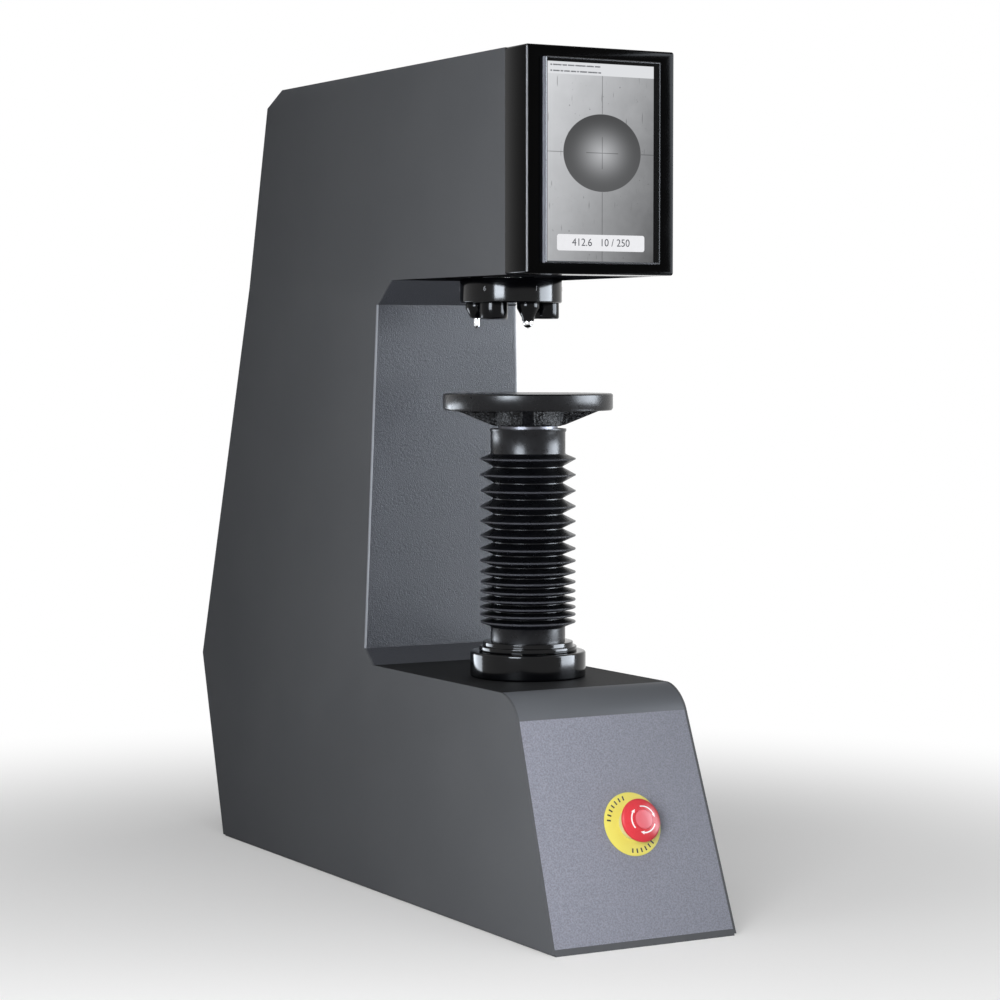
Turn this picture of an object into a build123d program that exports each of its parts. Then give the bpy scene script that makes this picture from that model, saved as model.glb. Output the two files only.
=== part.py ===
from build123d import *
import math
import os

# Bench hardness tester with a closed C-shaped body, a motor-driven test spindle that rises out of the base
# and a six-station turret under the head. Millimetres: X to the right, Y to the back, Z up.
# The load axis is X = Y = 0 and the bench is Z = 0.

os.makedirs("parts", exist_ok=True)

# ---- Body envelope ----
HEAD_WIDTH = 160.0
BASE_WIDTH = 198.0
HEAD_FLOOR = 614.0          # underside of the head
HEAD_TOP = 823.0
BASE_TOP = 226.5            # deck that the spindle rises from
PLATE = 6.0                 # base plate, seen as a lip under the covers
SHEET = 2.5                 # covers
WALL = 8.0                  # casting
FRONT_FOOT_Y = -218.0
FRONT_FOLD_Y = -132.2       # where the sloped front would meet the deck
FOLD_RADIUS = 36.0
COLUMN_FOOT_Y = 155.0
BEZEL_FRONT_Y = -136.0
BEZEL_BACK_Y = -96.0
SIDE_OUTLINE = [            # (Y, Z) all round the side view
    (FRONT_FOOT_Y, 0.0),
    (FRONT_FOLD_Y, BASE_TOP),
    (COLUMN_FOOT_Y, BASE_TOP),
    (174.0, 242.0),
    (166.0, 590.0),
    (137.0, HEAD_FLOOR),
    (BEZEL_BACK_Y, HEAD_FLOOR),
    (BEZEL_BACK_Y, HEAD_TOP),
    (390.0, HEAD_TOP),
    (428.0, 806.0),
    (583.0, 200.0),
    (513.0, 0.0),
]
REACH = 1000.0              # longer than the body, for cuts that run right through

# ---- Spindle and anvil ----
SCREW_RADIUS = 25.0
SCREW_BOTTOM = 116.0
FIT = 0.05                  # radial clearance of a running fit
HEAD_JOINT = 441.0          # screw to spindle head
SPINDLE_TOP = 470.4
ANVIL_RADIUS = 82.5
ANVIL_TOP = 502.2
ANVIL_DISC = 16.3
STEM_RADIUS = 12.5
RING_RADIUS = 56.4          # big ring on the deck
RING_TOP = 251.6
RING_LIP = 3.0              # the ring's top holds the bush down
CLAMP_RADIUS = 47.6         # stepped ring under the bellows
CLAMP_TOP = 260.9
CUFF_RADIUS = 36.4          # smooth ends of the bellows
CUFF_TOP = 468.0
CUFF_LENGTH = 24.5
BELLOWS_CRESTS = 15
CREST_RADIUS = 46.65
ROOT_RADIUS = 33.5
RUBBER = 1.6
PULLEY_BOTTOM = 165.0
PULLEY_TOP = 185.0
NUT_PULLEY_RADIUS = 60.0
MOTOR_PULLEY_RADIUS = 24.0
LIFT_MOTOR_Y = 130.0
BUSH_RADIUS = 45.0          # guide of the spindle, through the deck

# ---- Turret ----
STATION_RADIUS = 33.6       # the turret axis is this far behind the load axis
STATION_STEP = 60.0
DRUM_BOTTOM = 590.0
DRUM_RADIUS = 50.0
RECESS_RADIUS = 64.5
TIP_Z = 565.6               # lowest point of every indenter
PLUNGER_STROKE = 5.0
PLUNGER_RADIUS = 6.0
HOUSING_TOP = 660.0
RAM_RADIUS = 9.0
RAM_TIP = 631.5

# ---- Display ----
SCREEN_X = -1.0
SCREEN_Z = 718.0
MODULE_WIDTH = 124.0
MODULE_HEIGHT = 188.0
MODULE_FRONT_Y = -142.0

# ---- Emergency stop, on the sloped front ----
STOP_X = 8.8
STOP_Z = 105.7
STOP_Y = FRONT_FOOT_Y + (FRONT_FOLD_Y - FRONT_FOOT_Y) * STOP_Z / BASE_TOP
THREAD_RADIUS = 11.0

# ---- Mains inlet, on the lower rear cover ----
INLET_X = -30.0
INLET_Y = 548.0
INLET_Z = 100.0


def half_width(z):
    """Half the width of the body at height z: straight sides on the head, splayed ones below it."""
    splay = (BASE_WIDTH - HEAD_WIDTH) / 2 / HEAD_FLOOR
    return HEAD_WIDTH / 2 + max(0.0, HEAD_FLOOR - z) * splay


def side_view(inset=0.0):
    """The side outline, moved inwards by inset, sketched on the middle plane."""
    with BuildSketch(Plane.YZ) as view:
        Polygon(*SIDE_OUTLINE, align=None)
        fold = view.vertices().sort_by_distance((FRONT_FOLD_Y, BASE_TOP, 0))[0]
        fillet(fold, radius=FOLD_RADIUS)
        if inset:
            offset(amount=-inset, kind=Kind.INTERSECTION, mode=Mode.REPLACE)
    return view


def front_view(inset=0.0):
    """The front outline with its splayed sides moved inwards by inset, as a sketch on the XZ plane."""
    foot = half_width(0) - inset
    head = half_width(HEAD_FLOOR) - inset
    with BuildSketch(Plane.XZ) as view:
        Polygon((-foot, 0), (foot, 0), (head, HEAD_FLOOR), (head, HEAD_TOP), (-head, HEAD_TOP),
                (-head, HEAD_FLOOR), align=None)
    return view.sketch


def panel_strip(*region):
    """A cover's section: the sheet along the side outline, cut to a (Y, Z) region."""
    with BuildSketch(Plane.YZ) as strip:
        add(side_view().sketch_local)
        add(side_view(SHEET).sketch_local, mode=Mode.SUBTRACT)
        Polygon(*region, align=None, mode=Mode.INTERSECT)
    return strip.sketch


def fold_panel(strip):
    """Inside a BuildPart: the strip across the whole body, between the two side covers."""
    extrude(strip, amount=BASE_WIDTH / 2, both=True)
    extrude(front_view(SHEET), amount=REACH, both=True, mode=Mode.INTERSECT)


def station(index):
    """Centre (X, Y) of turret station 0..5; station 0 stands on the load axis."""
    angle = math.radians(index * STATION_STEP)
    return STATION_RADIUS * math.sin(angle), STATION_RADIUS * (1 - math.cos(angle))


def radial_plane(angle):
    """Upright plane through the Z axis: its x direction points outwards at angle, y is up."""
    a = math.radians(angle)
    return Plane(origin=(0, 0, 0), x_dir=(math.cos(a), math.sin(a), 0), z_dir=(math.sin(a), -math.cos(a), 0))


def finish(part, name):
    part.label = name
    export_step(part, f"parts/{name}.step")


SLOPE_LENGTH = math.hypot(FRONT_FOLD_Y - FRONT_FOOT_Y, BASE_TOP)
STOP_PLANE = Plane(
    origin=(STOP_X, STOP_Y, STOP_Z),
    x_dir=(1, 0, 0),
    z_dir=(0, -BASE_TOP / SLOPE_LENGTH, (FRONT_FOLD_Y - FRONT_FOOT_Y) / SLOPE_LENGTH),
)
INLET_PLANE = Plane(origin=(INLET_X, INLET_Y, INLET_Z), x_dir=(-1, 0, 0), z_dir=(0, 200.0, -70.0))
VENT_PLANE = Plane(origin=(0, 543.8, 353.0), x_dir=(-1, 0, 0), z_dir=(0, 606.0, 155.0))

# =====================================================================================================
# Frame
# =====================================================================================================

# Base plate: carries the casting, drilled for the hold-down bolts.
BOLT_SPACING_X = 140.0
BOLT_SPACING_Y = 560.0
BOLT_CENTRE_Y = 150.0
BOLT_HOLE_RADIUS = 5.5
with BuildPart() as base_plate:
    extrude(side_view().sketch, amount=BASE_WIDTH / 2, both=True)
    extrude(front_view(SHEET), amount=REACH, both=True, mode=Mode.INTERSECT)
    split(bisect_by=Plane.XY.offset(PLATE), keep=Keep.BOTTOM)
    with Locations((0, BOLT_CENTRE_Y, PLATE)):
        with GridLocations(BOLT_SPACING_X, BOLT_SPACING_Y, 2, 2):
            Hole(BOLT_HOLE_RADIUS)
finish(base_plate.part, "base_plate")

# Casting: one boxed C of grey iron, open at the back and on top where the covers close it.
with BuildPart() as cavity:
    extrude(side_view(SHEET + WALL).sketch, amount=BASE_WIDTH / 2, both=True)
    extrude(front_view(SHEET + WALL), amount=REACH, both=True, mode=Mode.INTERSECT)
CAST_WALL = SHEET + WALL
OPENING = 110.0             # width of the openings at the top and the back
CAST_OPENINGS = [           # middle (Y, Z) and size (Y, Z) of the head, column and base openings
    ((160.0, HEAD_TOP), (400.0, 40.0)),
    ((540.0, 470.0), (200.0, 480.0)),
    ((560.0, 110.0), (130.0, 150.0)),
]
CABLE_WINDOW = (90.0, 110.0)
STOP_CUTOUT = 30.0
with BuildPart() as cast_frame:
    extrude(side_view(SHEET).sketch, amount=BASE_WIDTH / 2, both=True)
    extrude(front_view(SHEET), amount=REACH, both=True, mode=Mode.INTERSECT)
    split(bisect_by=Plane.XY.offset(PLATE), keep=Keep.TOP)
    with BuildSketch(Plane.XZ.offset(-BEZEL_BACK_Y)):
        with Locations((0, (HEAD_FLOOR + HEAD_TOP) / 2)):
            Rectangle(HEAD_WIDTH - 2 * SHEET, HEAD_TOP - HEAD_FLOOR - 2 * SHEET)
    extrude(amount=-SHEET)
    add(cavity.part, mode=Mode.SUBTRACT)
    with BuildSketch(Plane.XY.offset(BASE_TOP)):
        Circle(BUSH_RADIUS)
    extrude(amount=-2 * CAST_WALL, mode=Mode.SUBTRACT)
    with BuildSketch(Plane.XY.offset(HEAD_FLOOR)):
        with Locations((0, STATION_RADIUS)):
            Circle(RECESS_RADIUS)
    extrude(amount=2 * CAST_WALL, mode=Mode.SUBTRACT)
    with BuildSketch(STOP_PLANE):
        Circle(STOP_CUTOUT)
    extrude(amount=-2 * CAST_WALL, mode=Mode.SUBTRACT)
    for middle, size in CAST_OPENINGS:
        with Locations((0, *middle)):
            Box(OPENING, *size, mode=Mode.SUBTRACT)
    with Locations((0, BEZEL_BACK_Y, SCREEN_Z)):
        Box(CABLE_WINDOW[0], 4 * CAST_WALL, CABLE_WINDOW[1], mode=Mode.SUBTRACT)
    with Locations((0, BOLT_CENTRE_Y, CAST_WALL)):
        with GridLocations(BOLT_SPACING_X, BOLT_SPACING_Y, 2, 2):
            Hole(BOLT_HOLE_RADIUS, depth=WALL)
finish(cast_frame.part, "cast_frame")

# Side covers: one folded sheet each, upright on the head and splayed below it.
COVER_GAP = 1.5             # the sheet ends this far above the bench
RIM_CHAMFER = 1.0
with BuildPart() as right_side_cover:
    extrude(side_view().sketch, amount=BASE_WIDTH / 2)
    with BuildSketch(Plane.XZ):
        Polygon((half_width(0), 0), (half_width(HEAD_FLOOR), HEAD_FLOOR), (half_width(HEAD_TOP), HEAD_TOP),
                (half_width(HEAD_TOP) - SHEET, HEAD_TOP), (half_width(HEAD_FLOOR) - SHEET, HEAD_FLOOR),
                (half_width(0) - SHEET, 0), align=None)
    extrude(amount=REACH, both=True, mode=Mode.INTERSECT)
    split(bisect_by=Plane.XY.offset(COVER_GAP), keep=Keep.TOP)
    skins = right_side_cover.faces().filter_by(lambda f: f.normal_at().X > 0.9).sort_by(SortBy.AREA)[-2:]
    lower, upper = skins[0].edges(), skins[1].edges()
    rim = [edge for edge in lower if edge not in upper] + [edge for edge in upper if edge not in lower]
    chamfer([edge for edge in rim if edge.center().Z > 2 * COVER_GAP], length=RIM_CHAMFER)
finish(right_side_cover.part, "right_side_cover")
with BuildPart() as left_side_cover:
    mirror(right_side_cover.part, about=Plane.YZ)
finish(left_side_cover.part, "left_side_cover")

# Covers between the side covers, each a folded sheet along its stretch of the side outline.
FOLD_END_Y = FRONT_FOLD_Y + FOLD_RADIUS * math.tan(math.atan2(BASE_TOP, FRONT_FOLD_Y - FRONT_FOOT_Y) / 2)
with BuildPart() as base_front_cover:
    fold_panel(panel_strip((-230, PLATE), (FOLD_END_Y, PLATE), (FOLD_END_Y, 230), (-230, 230)))
    with BuildSketch(STOP_PLANE):
        Circle(THREAD_RADIUS + 0.5)
    extrude(amount=-2 * SHEET, mode=Mode.SUBTRACT)
finish(base_front_cover.part, "base_front_cover")

with BuildPart() as base_top_cover:
    fold_panel(panel_strip((FOLD_END_Y, 215), (COLUMN_FOOT_Y, 215), (COLUMN_FOOT_Y, 230), (FOLD_END_Y, 230)))
    with BuildSketch(Plane.XY.offset(BASE_TOP)):
        Circle(BUSH_RADIUS)
    extrude(amount=-2 * SHEET, mode=Mode.SUBTRACT)
finish(base_top_cover.part, "base_top_cover")

with BuildPart() as column_front_cover:
    fold_panel(panel_strip((COLUMN_FOOT_Y, 215), (190, 215), (190, 620), (137, 620), (137, 600),
                           (COLUMN_FOOT_Y, 560)))
finish(column_front_cover.part, "column_front_cover")

with BuildPart() as head_floor_cover:
    top = HEAD_FLOOR + SHEET
    fold_panel(panel_strip((BEZEL_BACK_Y, 600), (137, 600), (137, top), (BEZEL_BACK_Y, top)))
    with BuildSketch(Plane.XY.offset(HEAD_FLOOR)):
        with Locations((0, STATION_RADIUS)):
            Circle(RECESS_RADIUS)
    extrude(amount=2 * SHEET, mode=Mode.SUBTRACT)
finish(head_floor_cover.part, "head_floor_cover")

with BuildPart() as head_top_cover:
    fold_panel(panel_strip((BEZEL_BACK_Y, HEAD_TOP - SHEET), (380, HEAD_TOP - SHEET), (390, 790),
                           (450, 806), (450, 830), (BEZEL_BACK_Y, 830)))
finish(head_top_cover.part, "head_top_cover")

REAR_SPLIT_Z = 520.0        # joint between the two rear covers
with BuildPart() as rear_upper_cover:
    fold_panel(panel_strip((390, 790), (450, 806), (560, REAR_SPLIT_Z), (440, REAR_SPLIT_Z)))
finish(rear_upper_cover.part, "rear_upper_cover")

VENT_ROWS = 12
VENT_PITCH = 14.0
VENT_LENGTH = 96.0
VENT_HEIGHT = 5.0
with BuildPart() as rear_lower_cover:
    fold_panel(panel_strip((440, REAR_SPLIT_Z), (560, REAR_SPLIT_Z), (600, 200), (500, 200)))
    with BuildSketch(VENT_PLANE):
        with GridLocations(VENT_LENGTH, VENT_PITCH, 1, VENT_ROWS):
            Rectangle(VENT_LENGTH, VENT_HEIGHT)
    extrude(amount=-4 * SHEET, both=True, mode=Mode.SUBTRACT)
finish(rear_lower_cover.part, "rear_lower_cover")

INLET_WIDTH = 32.0
INLET_HEIGHT = 70.0
with BuildPart() as rear_base_cover:
    fold_panel(panel_strip((500, 200), (600, 200), (600, PLATE), (460, PLATE)))
    with BuildSketch(INLET_PLANE):
        Rectangle(INLET_WIDTH - 4, INLET_HEIGHT - 4)
    extrude(amount=-4 * SHEET, both=True, mode=Mode.SUBTRACT)
finish(rear_base_cover.part, "rear_base_cover")

# =====================================================================================================
# Display
# =====================================================================================================
BEZEL_WALL = 4.0
BEZEL_EDGE = 2.0
HEAD_MIDDLE_Z = (HEAD_FLOOR + HEAD_TOP) / 2
HEAD_HEIGHT = HEAD_TOP - HEAD_FLOOR
BEZEL_PLANE = Plane.XZ.offset(-BEZEL_BACK_Y)        # its normal points to the front

with BuildPart() as display_bezel:
    with BuildSketch(BEZEL_PLANE):
        with Locations((0, HEAD_MIDDLE_Z)):
            Rectangle(HEAD_WIDTH, HEAD_HEIGHT)
    extrude(amount=BEZEL_BACK_Y - BEZEL_FRONT_Y)
    fillet(display_bezel.edges().filter_by(Axis.Y), radius=BEZEL_EDGE)
    chamfer(display_bezel.faces().sort_by(Axis.Y)[0].edges(), length=BEZEL_EDGE)
    with BuildSketch(BEZEL_PLANE):
        with Locations((0, HEAD_MIDDLE_Z)):
            Rectangle(HEAD_WIDTH - 2 * BEZEL_WALL, HEAD_HEIGHT - 2 * BEZEL_WALL)
    extrude(amount=BEZEL_BACK_Y - BEZEL_FRONT_Y - BEZEL_WALL, mode=Mode.SUBTRACT)
    with BuildSketch(BEZEL_PLANE):
        with Locations((SCREEN_X, SCREEN_Z)):
            Rectangle(MODULE_WIDTH, MODULE_HEIGHT)
    extrude(amount=2 * (BEZEL_BACK_Y - BEZEL_FRONT_Y), mode=Mode.SUBTRACT)
finish(display_bezel.part, "display_bezel")

# Display module: a framed panel that stands proud of the bezel, held by a flange behind it.
GLASS = 1.5
MODULE_RIM = 1.5
MODULE_EDGE = 0.6
MODULE_BACK_Y = -108.0
FLANGE = 5.0
FLANGE_SHEET = 3.0
with BuildPart() as display_module:
    with BuildSketch(Plane.XZ.offset(-MODULE_BACK_Y)):
        with Locations((SCREEN_X, SCREEN_Z)):
            Rectangle(MODULE_WIDTH, MODULE_HEIGHT)
    extrude(amount=MODULE_BACK_Y - MODULE_FRONT_Y)
    chamfer(display_module.edges().filter_by(Axis.Y), length=MODULE_EDGE)
    chamfer(display_module.faces().sort_by(Axis.Y)[0].edges(), length=MODULE_EDGE)
    with BuildSketch(Plane.XZ.offset(-BEZEL_FRONT_Y - BEZEL_WALL)):
        with Locations((SCREEN_X, SCREEN_Z)):
            Rectangle(MODULE_WIDTH + 2 * FLANGE, MODULE_HEIGHT + 2 * FLANGE)
    extrude(amount=-FLANGE_SHEET)
    with BuildSketch(Plane.XZ.offset(-MODULE_FRONT_Y)):
        with Locations((SCREEN_X, SCREEN_Z)):
            Rectangle(MODULE_WIDTH - 2 * MODULE_RIM, MODULE_HEIGHT - 2 * MODULE_RIM)
    extrude(amount=-GLASS, mode=Mode.SUBTRACT)
finish(display_module.part, "display_module")

with BuildPart() as display_glass:
    with BuildSketch(Plane.XZ.offset(-MODULE_FRONT_Y)):
        with Locations((SCREEN_X, SCREEN_Z)):
            Rectangle(MODULE_WIDTH - 2 * MODULE_RIM, MODULE_HEIGHT - 2 * MODULE_RIM)
    extrude(amount=-GLASS)
finish(display_glass.part, "display_glass")

# =====================================================================================================
# Spindle drive, in the base
# =====================================================================================================
KEY_WIDTH = 10.0
KEY_DEPTH = 5.0
KEYWAY_TOP = 421.0
BUSH_BOTTOM = 214.0

# Test spindle: a lead screw that can't turn, because a key runs in its keyway.
with BuildPart() as lead_screw:
    with BuildSketch(Plane.XY.offset(SCREW_BOTTOM)):
        Circle(SCREW_RADIUS)
    extrude(amount=HEAD_JOINT - SCREW_BOTTOM)
    chamfer(lead_screw.edges().group_by(Axis.Z)[0], length=1.5)
    with BuildSketch(Plane.XY.offset(SCREW_BOTTOM)):
        with Locations((0, SCREW_RADIUS)):
            Rectangle(KEY_WIDTH, 2 * KEY_DEPTH)
    extrude(amount=KEYWAY_TOP - SCREW_BOTTOM, mode=Mode.SUBTRACT)
finish(lead_screw.part, "lead_screw")

with BuildPart() as guide_bush:
    with BuildSketch(Plane.XY.offset(BUSH_BOTTOM)):
        Circle(BUSH_RADIUS)
        Circle(SCREW_RADIUS + FIT, mode=Mode.SUBTRACT)
        with Locations((0, SCREW_RADIUS)):
            Rectangle(KEY_WIDTH - 0.2, 2 * KEY_DEPTH - 0.6)
    extrude(amount=RING_TOP - RING_LIP - BUSH_BOTTOM)
finish(guide_bush.part, "guide_bush")

RING_MOUTH = 32.0
RING_SHOULDER = 2.5
with BuildPart() as spindle_collar:
    with BuildSketch(Plane.XY.offset(BASE_TOP)):
        Circle(RING_RADIUS)
        Circle(BUSH_RADIUS, mode=Mode.SUBTRACT)
    extrude(amount=RING_TOP - RING_LIP - BASE_TOP)
    with BuildSketch(Plane.XY.offset(RING_TOP - RING_LIP)):
        Circle(RING_RADIUS)
        Circle(RING_MOUTH, mode=Mode.SUBTRACT)
    extrude(amount=RING_LIP)
    top_edges = spindle_collar.edges().filter_by(GeomType.CIRCLE).group_by(Axis.Z)[-1]
    fillet(top_edges.sort_by(SortBy.RADIUS)[-1], radius=RING_SHOULDER)
finish(spindle_collar.part, "spindle_collar")

CLAMP_BORE = 30.0
CLAMP_STEP = 5.0
CLAMP_STEP_RADIUS = 44.0
SPIGOT_RADIUS = CUFF_RADIUS - RUBBER
LOWER_CUFF_TOP = 275.2
with BuildPart() as bellows_clamp:
    with BuildSketch(Plane.XZ):
        with BuildLine():
            Polyline((CLAMP_BORE, RING_TOP), (CLAMP_RADIUS, RING_TOP), (CLAMP_RADIUS, RING_TOP + CLAMP_STEP),
                     (CLAMP_STEP_RADIUS, RING_TOP + CLAMP_STEP), (CLAMP_STEP_RADIUS, CLAMP_TOP),
                     (SPIGOT_RADIUS, CLAMP_TOP), (SPIGOT_RADIUS, LOWER_CUFF_TOP - 1),
                     (CLAMP_BORE, LOWER_CUFF_TOP - 1), close=True)
        make_face()
    revolve(axis=Axis.Z)
finish(bellows_clamp.part, "bellows_clamp")

# The nut turns in its bearing under the deck; its pulley is driven by the lift motor.
BEARING_RADIUS = 50.0
NECK_RADIUS = 30.0
BEARING_SEAT = 190.0
HOUSING_RADIUS = 65.0
with BuildPart() as bearing_housing:
    with BuildSketch(Plane.XY.offset(BEARING_SEAT)):
        Circle(HOUSING_RADIUS)
        Circle(BEARING_RADIUS, mode=Mode.SUBTRACT)
    extrude(amount=BASE_TOP - CAST_WALL - BEARING_SEAT)
finish(bearing_housing.part, "bearing_housing")

RACE = 9.0                  # height of each race, with the ball track between them
TRACK_RADIUS = 46.0
with BuildPart() as thrust_bearing:
    with BuildSketch(Plane.XZ):
        with BuildLine():
            Polyline((NECK_RADIUS + FIT, BEARING_SEAT), (BEARING_RADIUS, BEARING_SEAT),
                     (BEARING_RADIUS, BEARING_SEAT + RACE), (TRACK_RADIUS, BEARING_SEAT + RACE),
                     (TRACK_RADIUS, BUSH_BOTTOM - RACE), (BEARING_RADIUS, BUSH_BOTTOM - RACE),
                     (BEARING_RADIUS, BUSH_BOTTOM), (NECK_RADIUS + FIT, BUSH_BOTTOM), close=True)
        make_face()
    revolve(axis=Axis.Z)
finish(thrust_bearing.part, "thrust_bearing")

NUT_BOTTOM = 160.0
NUT_RADIUS = 45.0
with BuildPart() as spindle_nut:
    with BuildSketch(Plane.XZ):
        with BuildLine():
            Polyline((SCREW_RADIUS + FIT, NUT_BOTTOM), (NUT_RADIUS, NUT_BOTTOM), (NUT_RADIUS, BEARING_SEAT),
                     (NECK_RADIUS, BEARING_SEAT), (NECK_RADIUS, BUSH_BOTTOM - 1),
                     (SCREW_RADIUS + FIT, BUSH_BOTTOM - 1), close=True)
        make_face()
    revolve(axis=Axis.Z)
finish(spindle_nut.part, "spindle_nut")


def toothed_disc(radius, teeth):
    """Inside a BuildSketch: a toothed-belt pulley's face, with V-sided tooth spaces."""
    Circle(radius)
    with PolarLocations(radius, teeth):
        Trapezoid(TOOTH_SPACE, 2 * TOOTH_DEPTH, TOOTH_FLANK, rotation=90, mode=Mode.SUBTRACT)


TOOTH_SPACE = 5.0
TOOTH_DEPTH = 2.5
TOOTH_FLANK = 70.0          # degrees
BELT = 3.0
BELT_GAP = 0.3
NUT_TEETH = 40
MOTOR_TEETH = 16            # tooth counts stand in the ratio of the pulleys' radii
with BuildPart() as nut_pulley:
    with BuildSketch(Plane.XY.offset(PULLEY_BOTTOM)):
        toothed_disc(NUT_PULLEY_RADIUS, NUT_TEETH)
        Circle(NUT_RADIUS, mode=Mode.SUBTRACT)
    extrude(amount=PULLEY_TOP - PULLEY_BOTTOM)
finish(nut_pulley.part, "nut_pulley")

SHAFT_RADIUS = 7.0
SHAFT_BOTTOM = 118.0
MOTOR_TOP = 140.0
BRACKET = 6.0
with BuildPart() as motor_pulley:
    with BuildSketch(Plane.XY.offset(PULLEY_BOTTOM)):
        with Locations((0, LIFT_MOTOR_Y)):
            toothed_disc(MOTOR_PULLEY_RADIUS, MOTOR_TEETH)
    extrude(amount=PULLEY_TOP - PULLEY_BOTTOM)
    with BuildSketch(Plane.XY.offset(SHAFT_BOTTOM)):
        with Locations((0, LIFT_MOTOR_Y)):
            Circle(SHAFT_RADIUS)
    extrude(amount=PULLEY_BOTTOM - SHAFT_BOTTOM)
finish(motor_pulley.part, "motor_pulley")

with BuildPart() as drive_belt:
    with BuildSketch(Plane.XY.offset(PULLEY_BOTTOM + 2)):
        Circle(NUT_PULLEY_RADIUS + BELT_GAP + BELT)
        with Locations((0, LIFT_MOTOR_Y)):
            Circle(MOTOR_PULLEY_RADIUS + BELT_GAP + BELT)
        make_hull()
    extrude(amount=PULLEY_TOP - PULLEY_BOTTOM - 4)
    with BuildSketch(Plane.XY.offset(PULLEY_BOTTOM + 2)):
        Circle(NUT_PULLEY_RADIUS + BELT_GAP)
        with Locations((0, LIFT_MOTOR_Y)):
            Circle(MOTOR_PULLEY_RADIUS + BELT_GAP)
        make_hull()
    extrude(amount=PULLEY_TOP - PULLEY_BOTTOM - 4, mode=Mode.SUBTRACT)
finish(drive_belt.part, "drive_belt")

MOTOR_SIZE = 86.0
MOTOR_LENGTH = 110.0
MOTOR_CORNER = 6.0
with BuildPart() as lift_motor:
    with BuildSketch(Plane.XY.offset(MOTOR_TOP)):
        with Locations((0, LIFT_MOTOR_Y)):
            Rectangle(MOTOR_SIZE, MOTOR_SIZE)
    extrude(amount=-MOTOR_LENGTH)
    chamfer(lift_motor.edges().filter_by(Axis.Z), length=MOTOR_CORNER)
    with BuildSketch(Plane.XY.offset(MOTOR_TOP)):
        with Locations((0, LIFT_MOTOR_Y)):
            Circle(SHAFT_RADIUS + FIT)
    extrude(amount=-MOTOR_TOP + SHAFT_BOTTOM - 1, mode=Mode.SUBTRACT)
finish(lift_motor.part, "lift_motor")

FLOOR = CAST_WALL           # top of the casting's bottom wall
POST_SPACING = 102.0
POST_RADIUS = 6.5           # hexagonal standoffs
BRACKET_SIZE = 116.0
PILOT_RADIUS = 20.0
with BuildPart() as motor_bracket:
    with BuildSketch(Plane.XY.offset(MOTOR_TOP)):
        with Locations((0, LIFT_MOTOR_Y)):
            Rectangle(BRACKET_SIZE, BRACKET_SIZE)
            Circle(PILOT_RADIUS, mode=Mode.SUBTRACT)
    extrude(amount=BRACKET)
    with BuildSketch(Plane.XY.offset(FLOOR)):
        with Locations((0, LIFT_MOTOR_Y)):
            with GridLocations(POST_SPACING, POST_SPACING, 2, 2):
                RegularPolygon(POST_RADIUS, 6)
    extrude(amount=MOTOR_TOP - FLOOR)
finish(motor_bracket.part, "motor_bracket")

# =====================================================================================================
# Spindle head, bellows and anvil
# =====================================================================================================
HEAD_RADIUS = CUFF_RADIUS - RUBBER
FACE_RADIUS = 29.0
with BuildPart() as spindle_head:
    with BuildSketch(Plane.XZ):
        with BuildLine():
            Polyline((0, HEAD_JOINT), (HEAD_RADIUS, HEAD_JOINT), (HEAD_RADIUS, CUFF_TOP - 1),
                     (FACE_RADIUS, CUFF_TOP - 1), (FACE_RADIUS, SPINDLE_TOP),
                     (STEM_RADIUS + FIT, SPINDLE_TOP), (STEM_RADIUS + FIT, HEAD_JOINT + 2),
                     (0, HEAD_JOINT + 2), close=True)
        make_face()
    revolve(axis=Axis.Z)
finish(spindle_head.part, "spindle_head")

# Bellows: a moulded rubber sleeve. The folds hang wider apart at the top than at the bottom, so their
# pitch falls along a cosine between the two cuffs.
FIRST_CREST_Z = 438.7
PITCH_MEAN = 11.34
PITCH_SWING = 4.3


def crest_heights():
    heights = [FIRST_CREST_Z]
    for fold in range(BELLOWS_CRESTS - 1):
        phase = math.pi * fold / (BELLOWS_CRESTS - 2)
        heights.append(heights[-1] - PITCH_MEAN - PITCH_SWING * math.cos(phase))
    return heights


def bellows_profile(thickness):
    """(R, Z) down the outside of the sleeve, or down its inside where thickness is taken off."""
    crests = crest_heights()
    line = [(CUFF_RADIUS - thickness, CUFF_TOP), (CUFF_RADIUS - thickness, CUFF_TOP - CUFF_LENGTH)]
    for above, below in zip(crests, crests[1:]):
        line.append((CREST_RADIUS - thickness, above))
        line.append((ROOT_RADIUS - thickness, (above + below) / 2))
    line.append((CREST_RADIUS - thickness, crests[-1]))
    line.append((CUFF_RADIUS - thickness, LOWER_CUFF_TOP))
    line.append((CUFF_RADIUS - thickness, CLAMP_TOP))
    return line


with BuildPart() as bellows:
    with BuildSketch(Plane.XZ):
        with BuildLine():
            Polyline(*bellows_profile(0.0), *reversed(bellows_profile(RUBBER)), close=True)
        make_face()
    revolve(axis=Axis.Z)
finish(bellows.part, "bellows")

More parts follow.
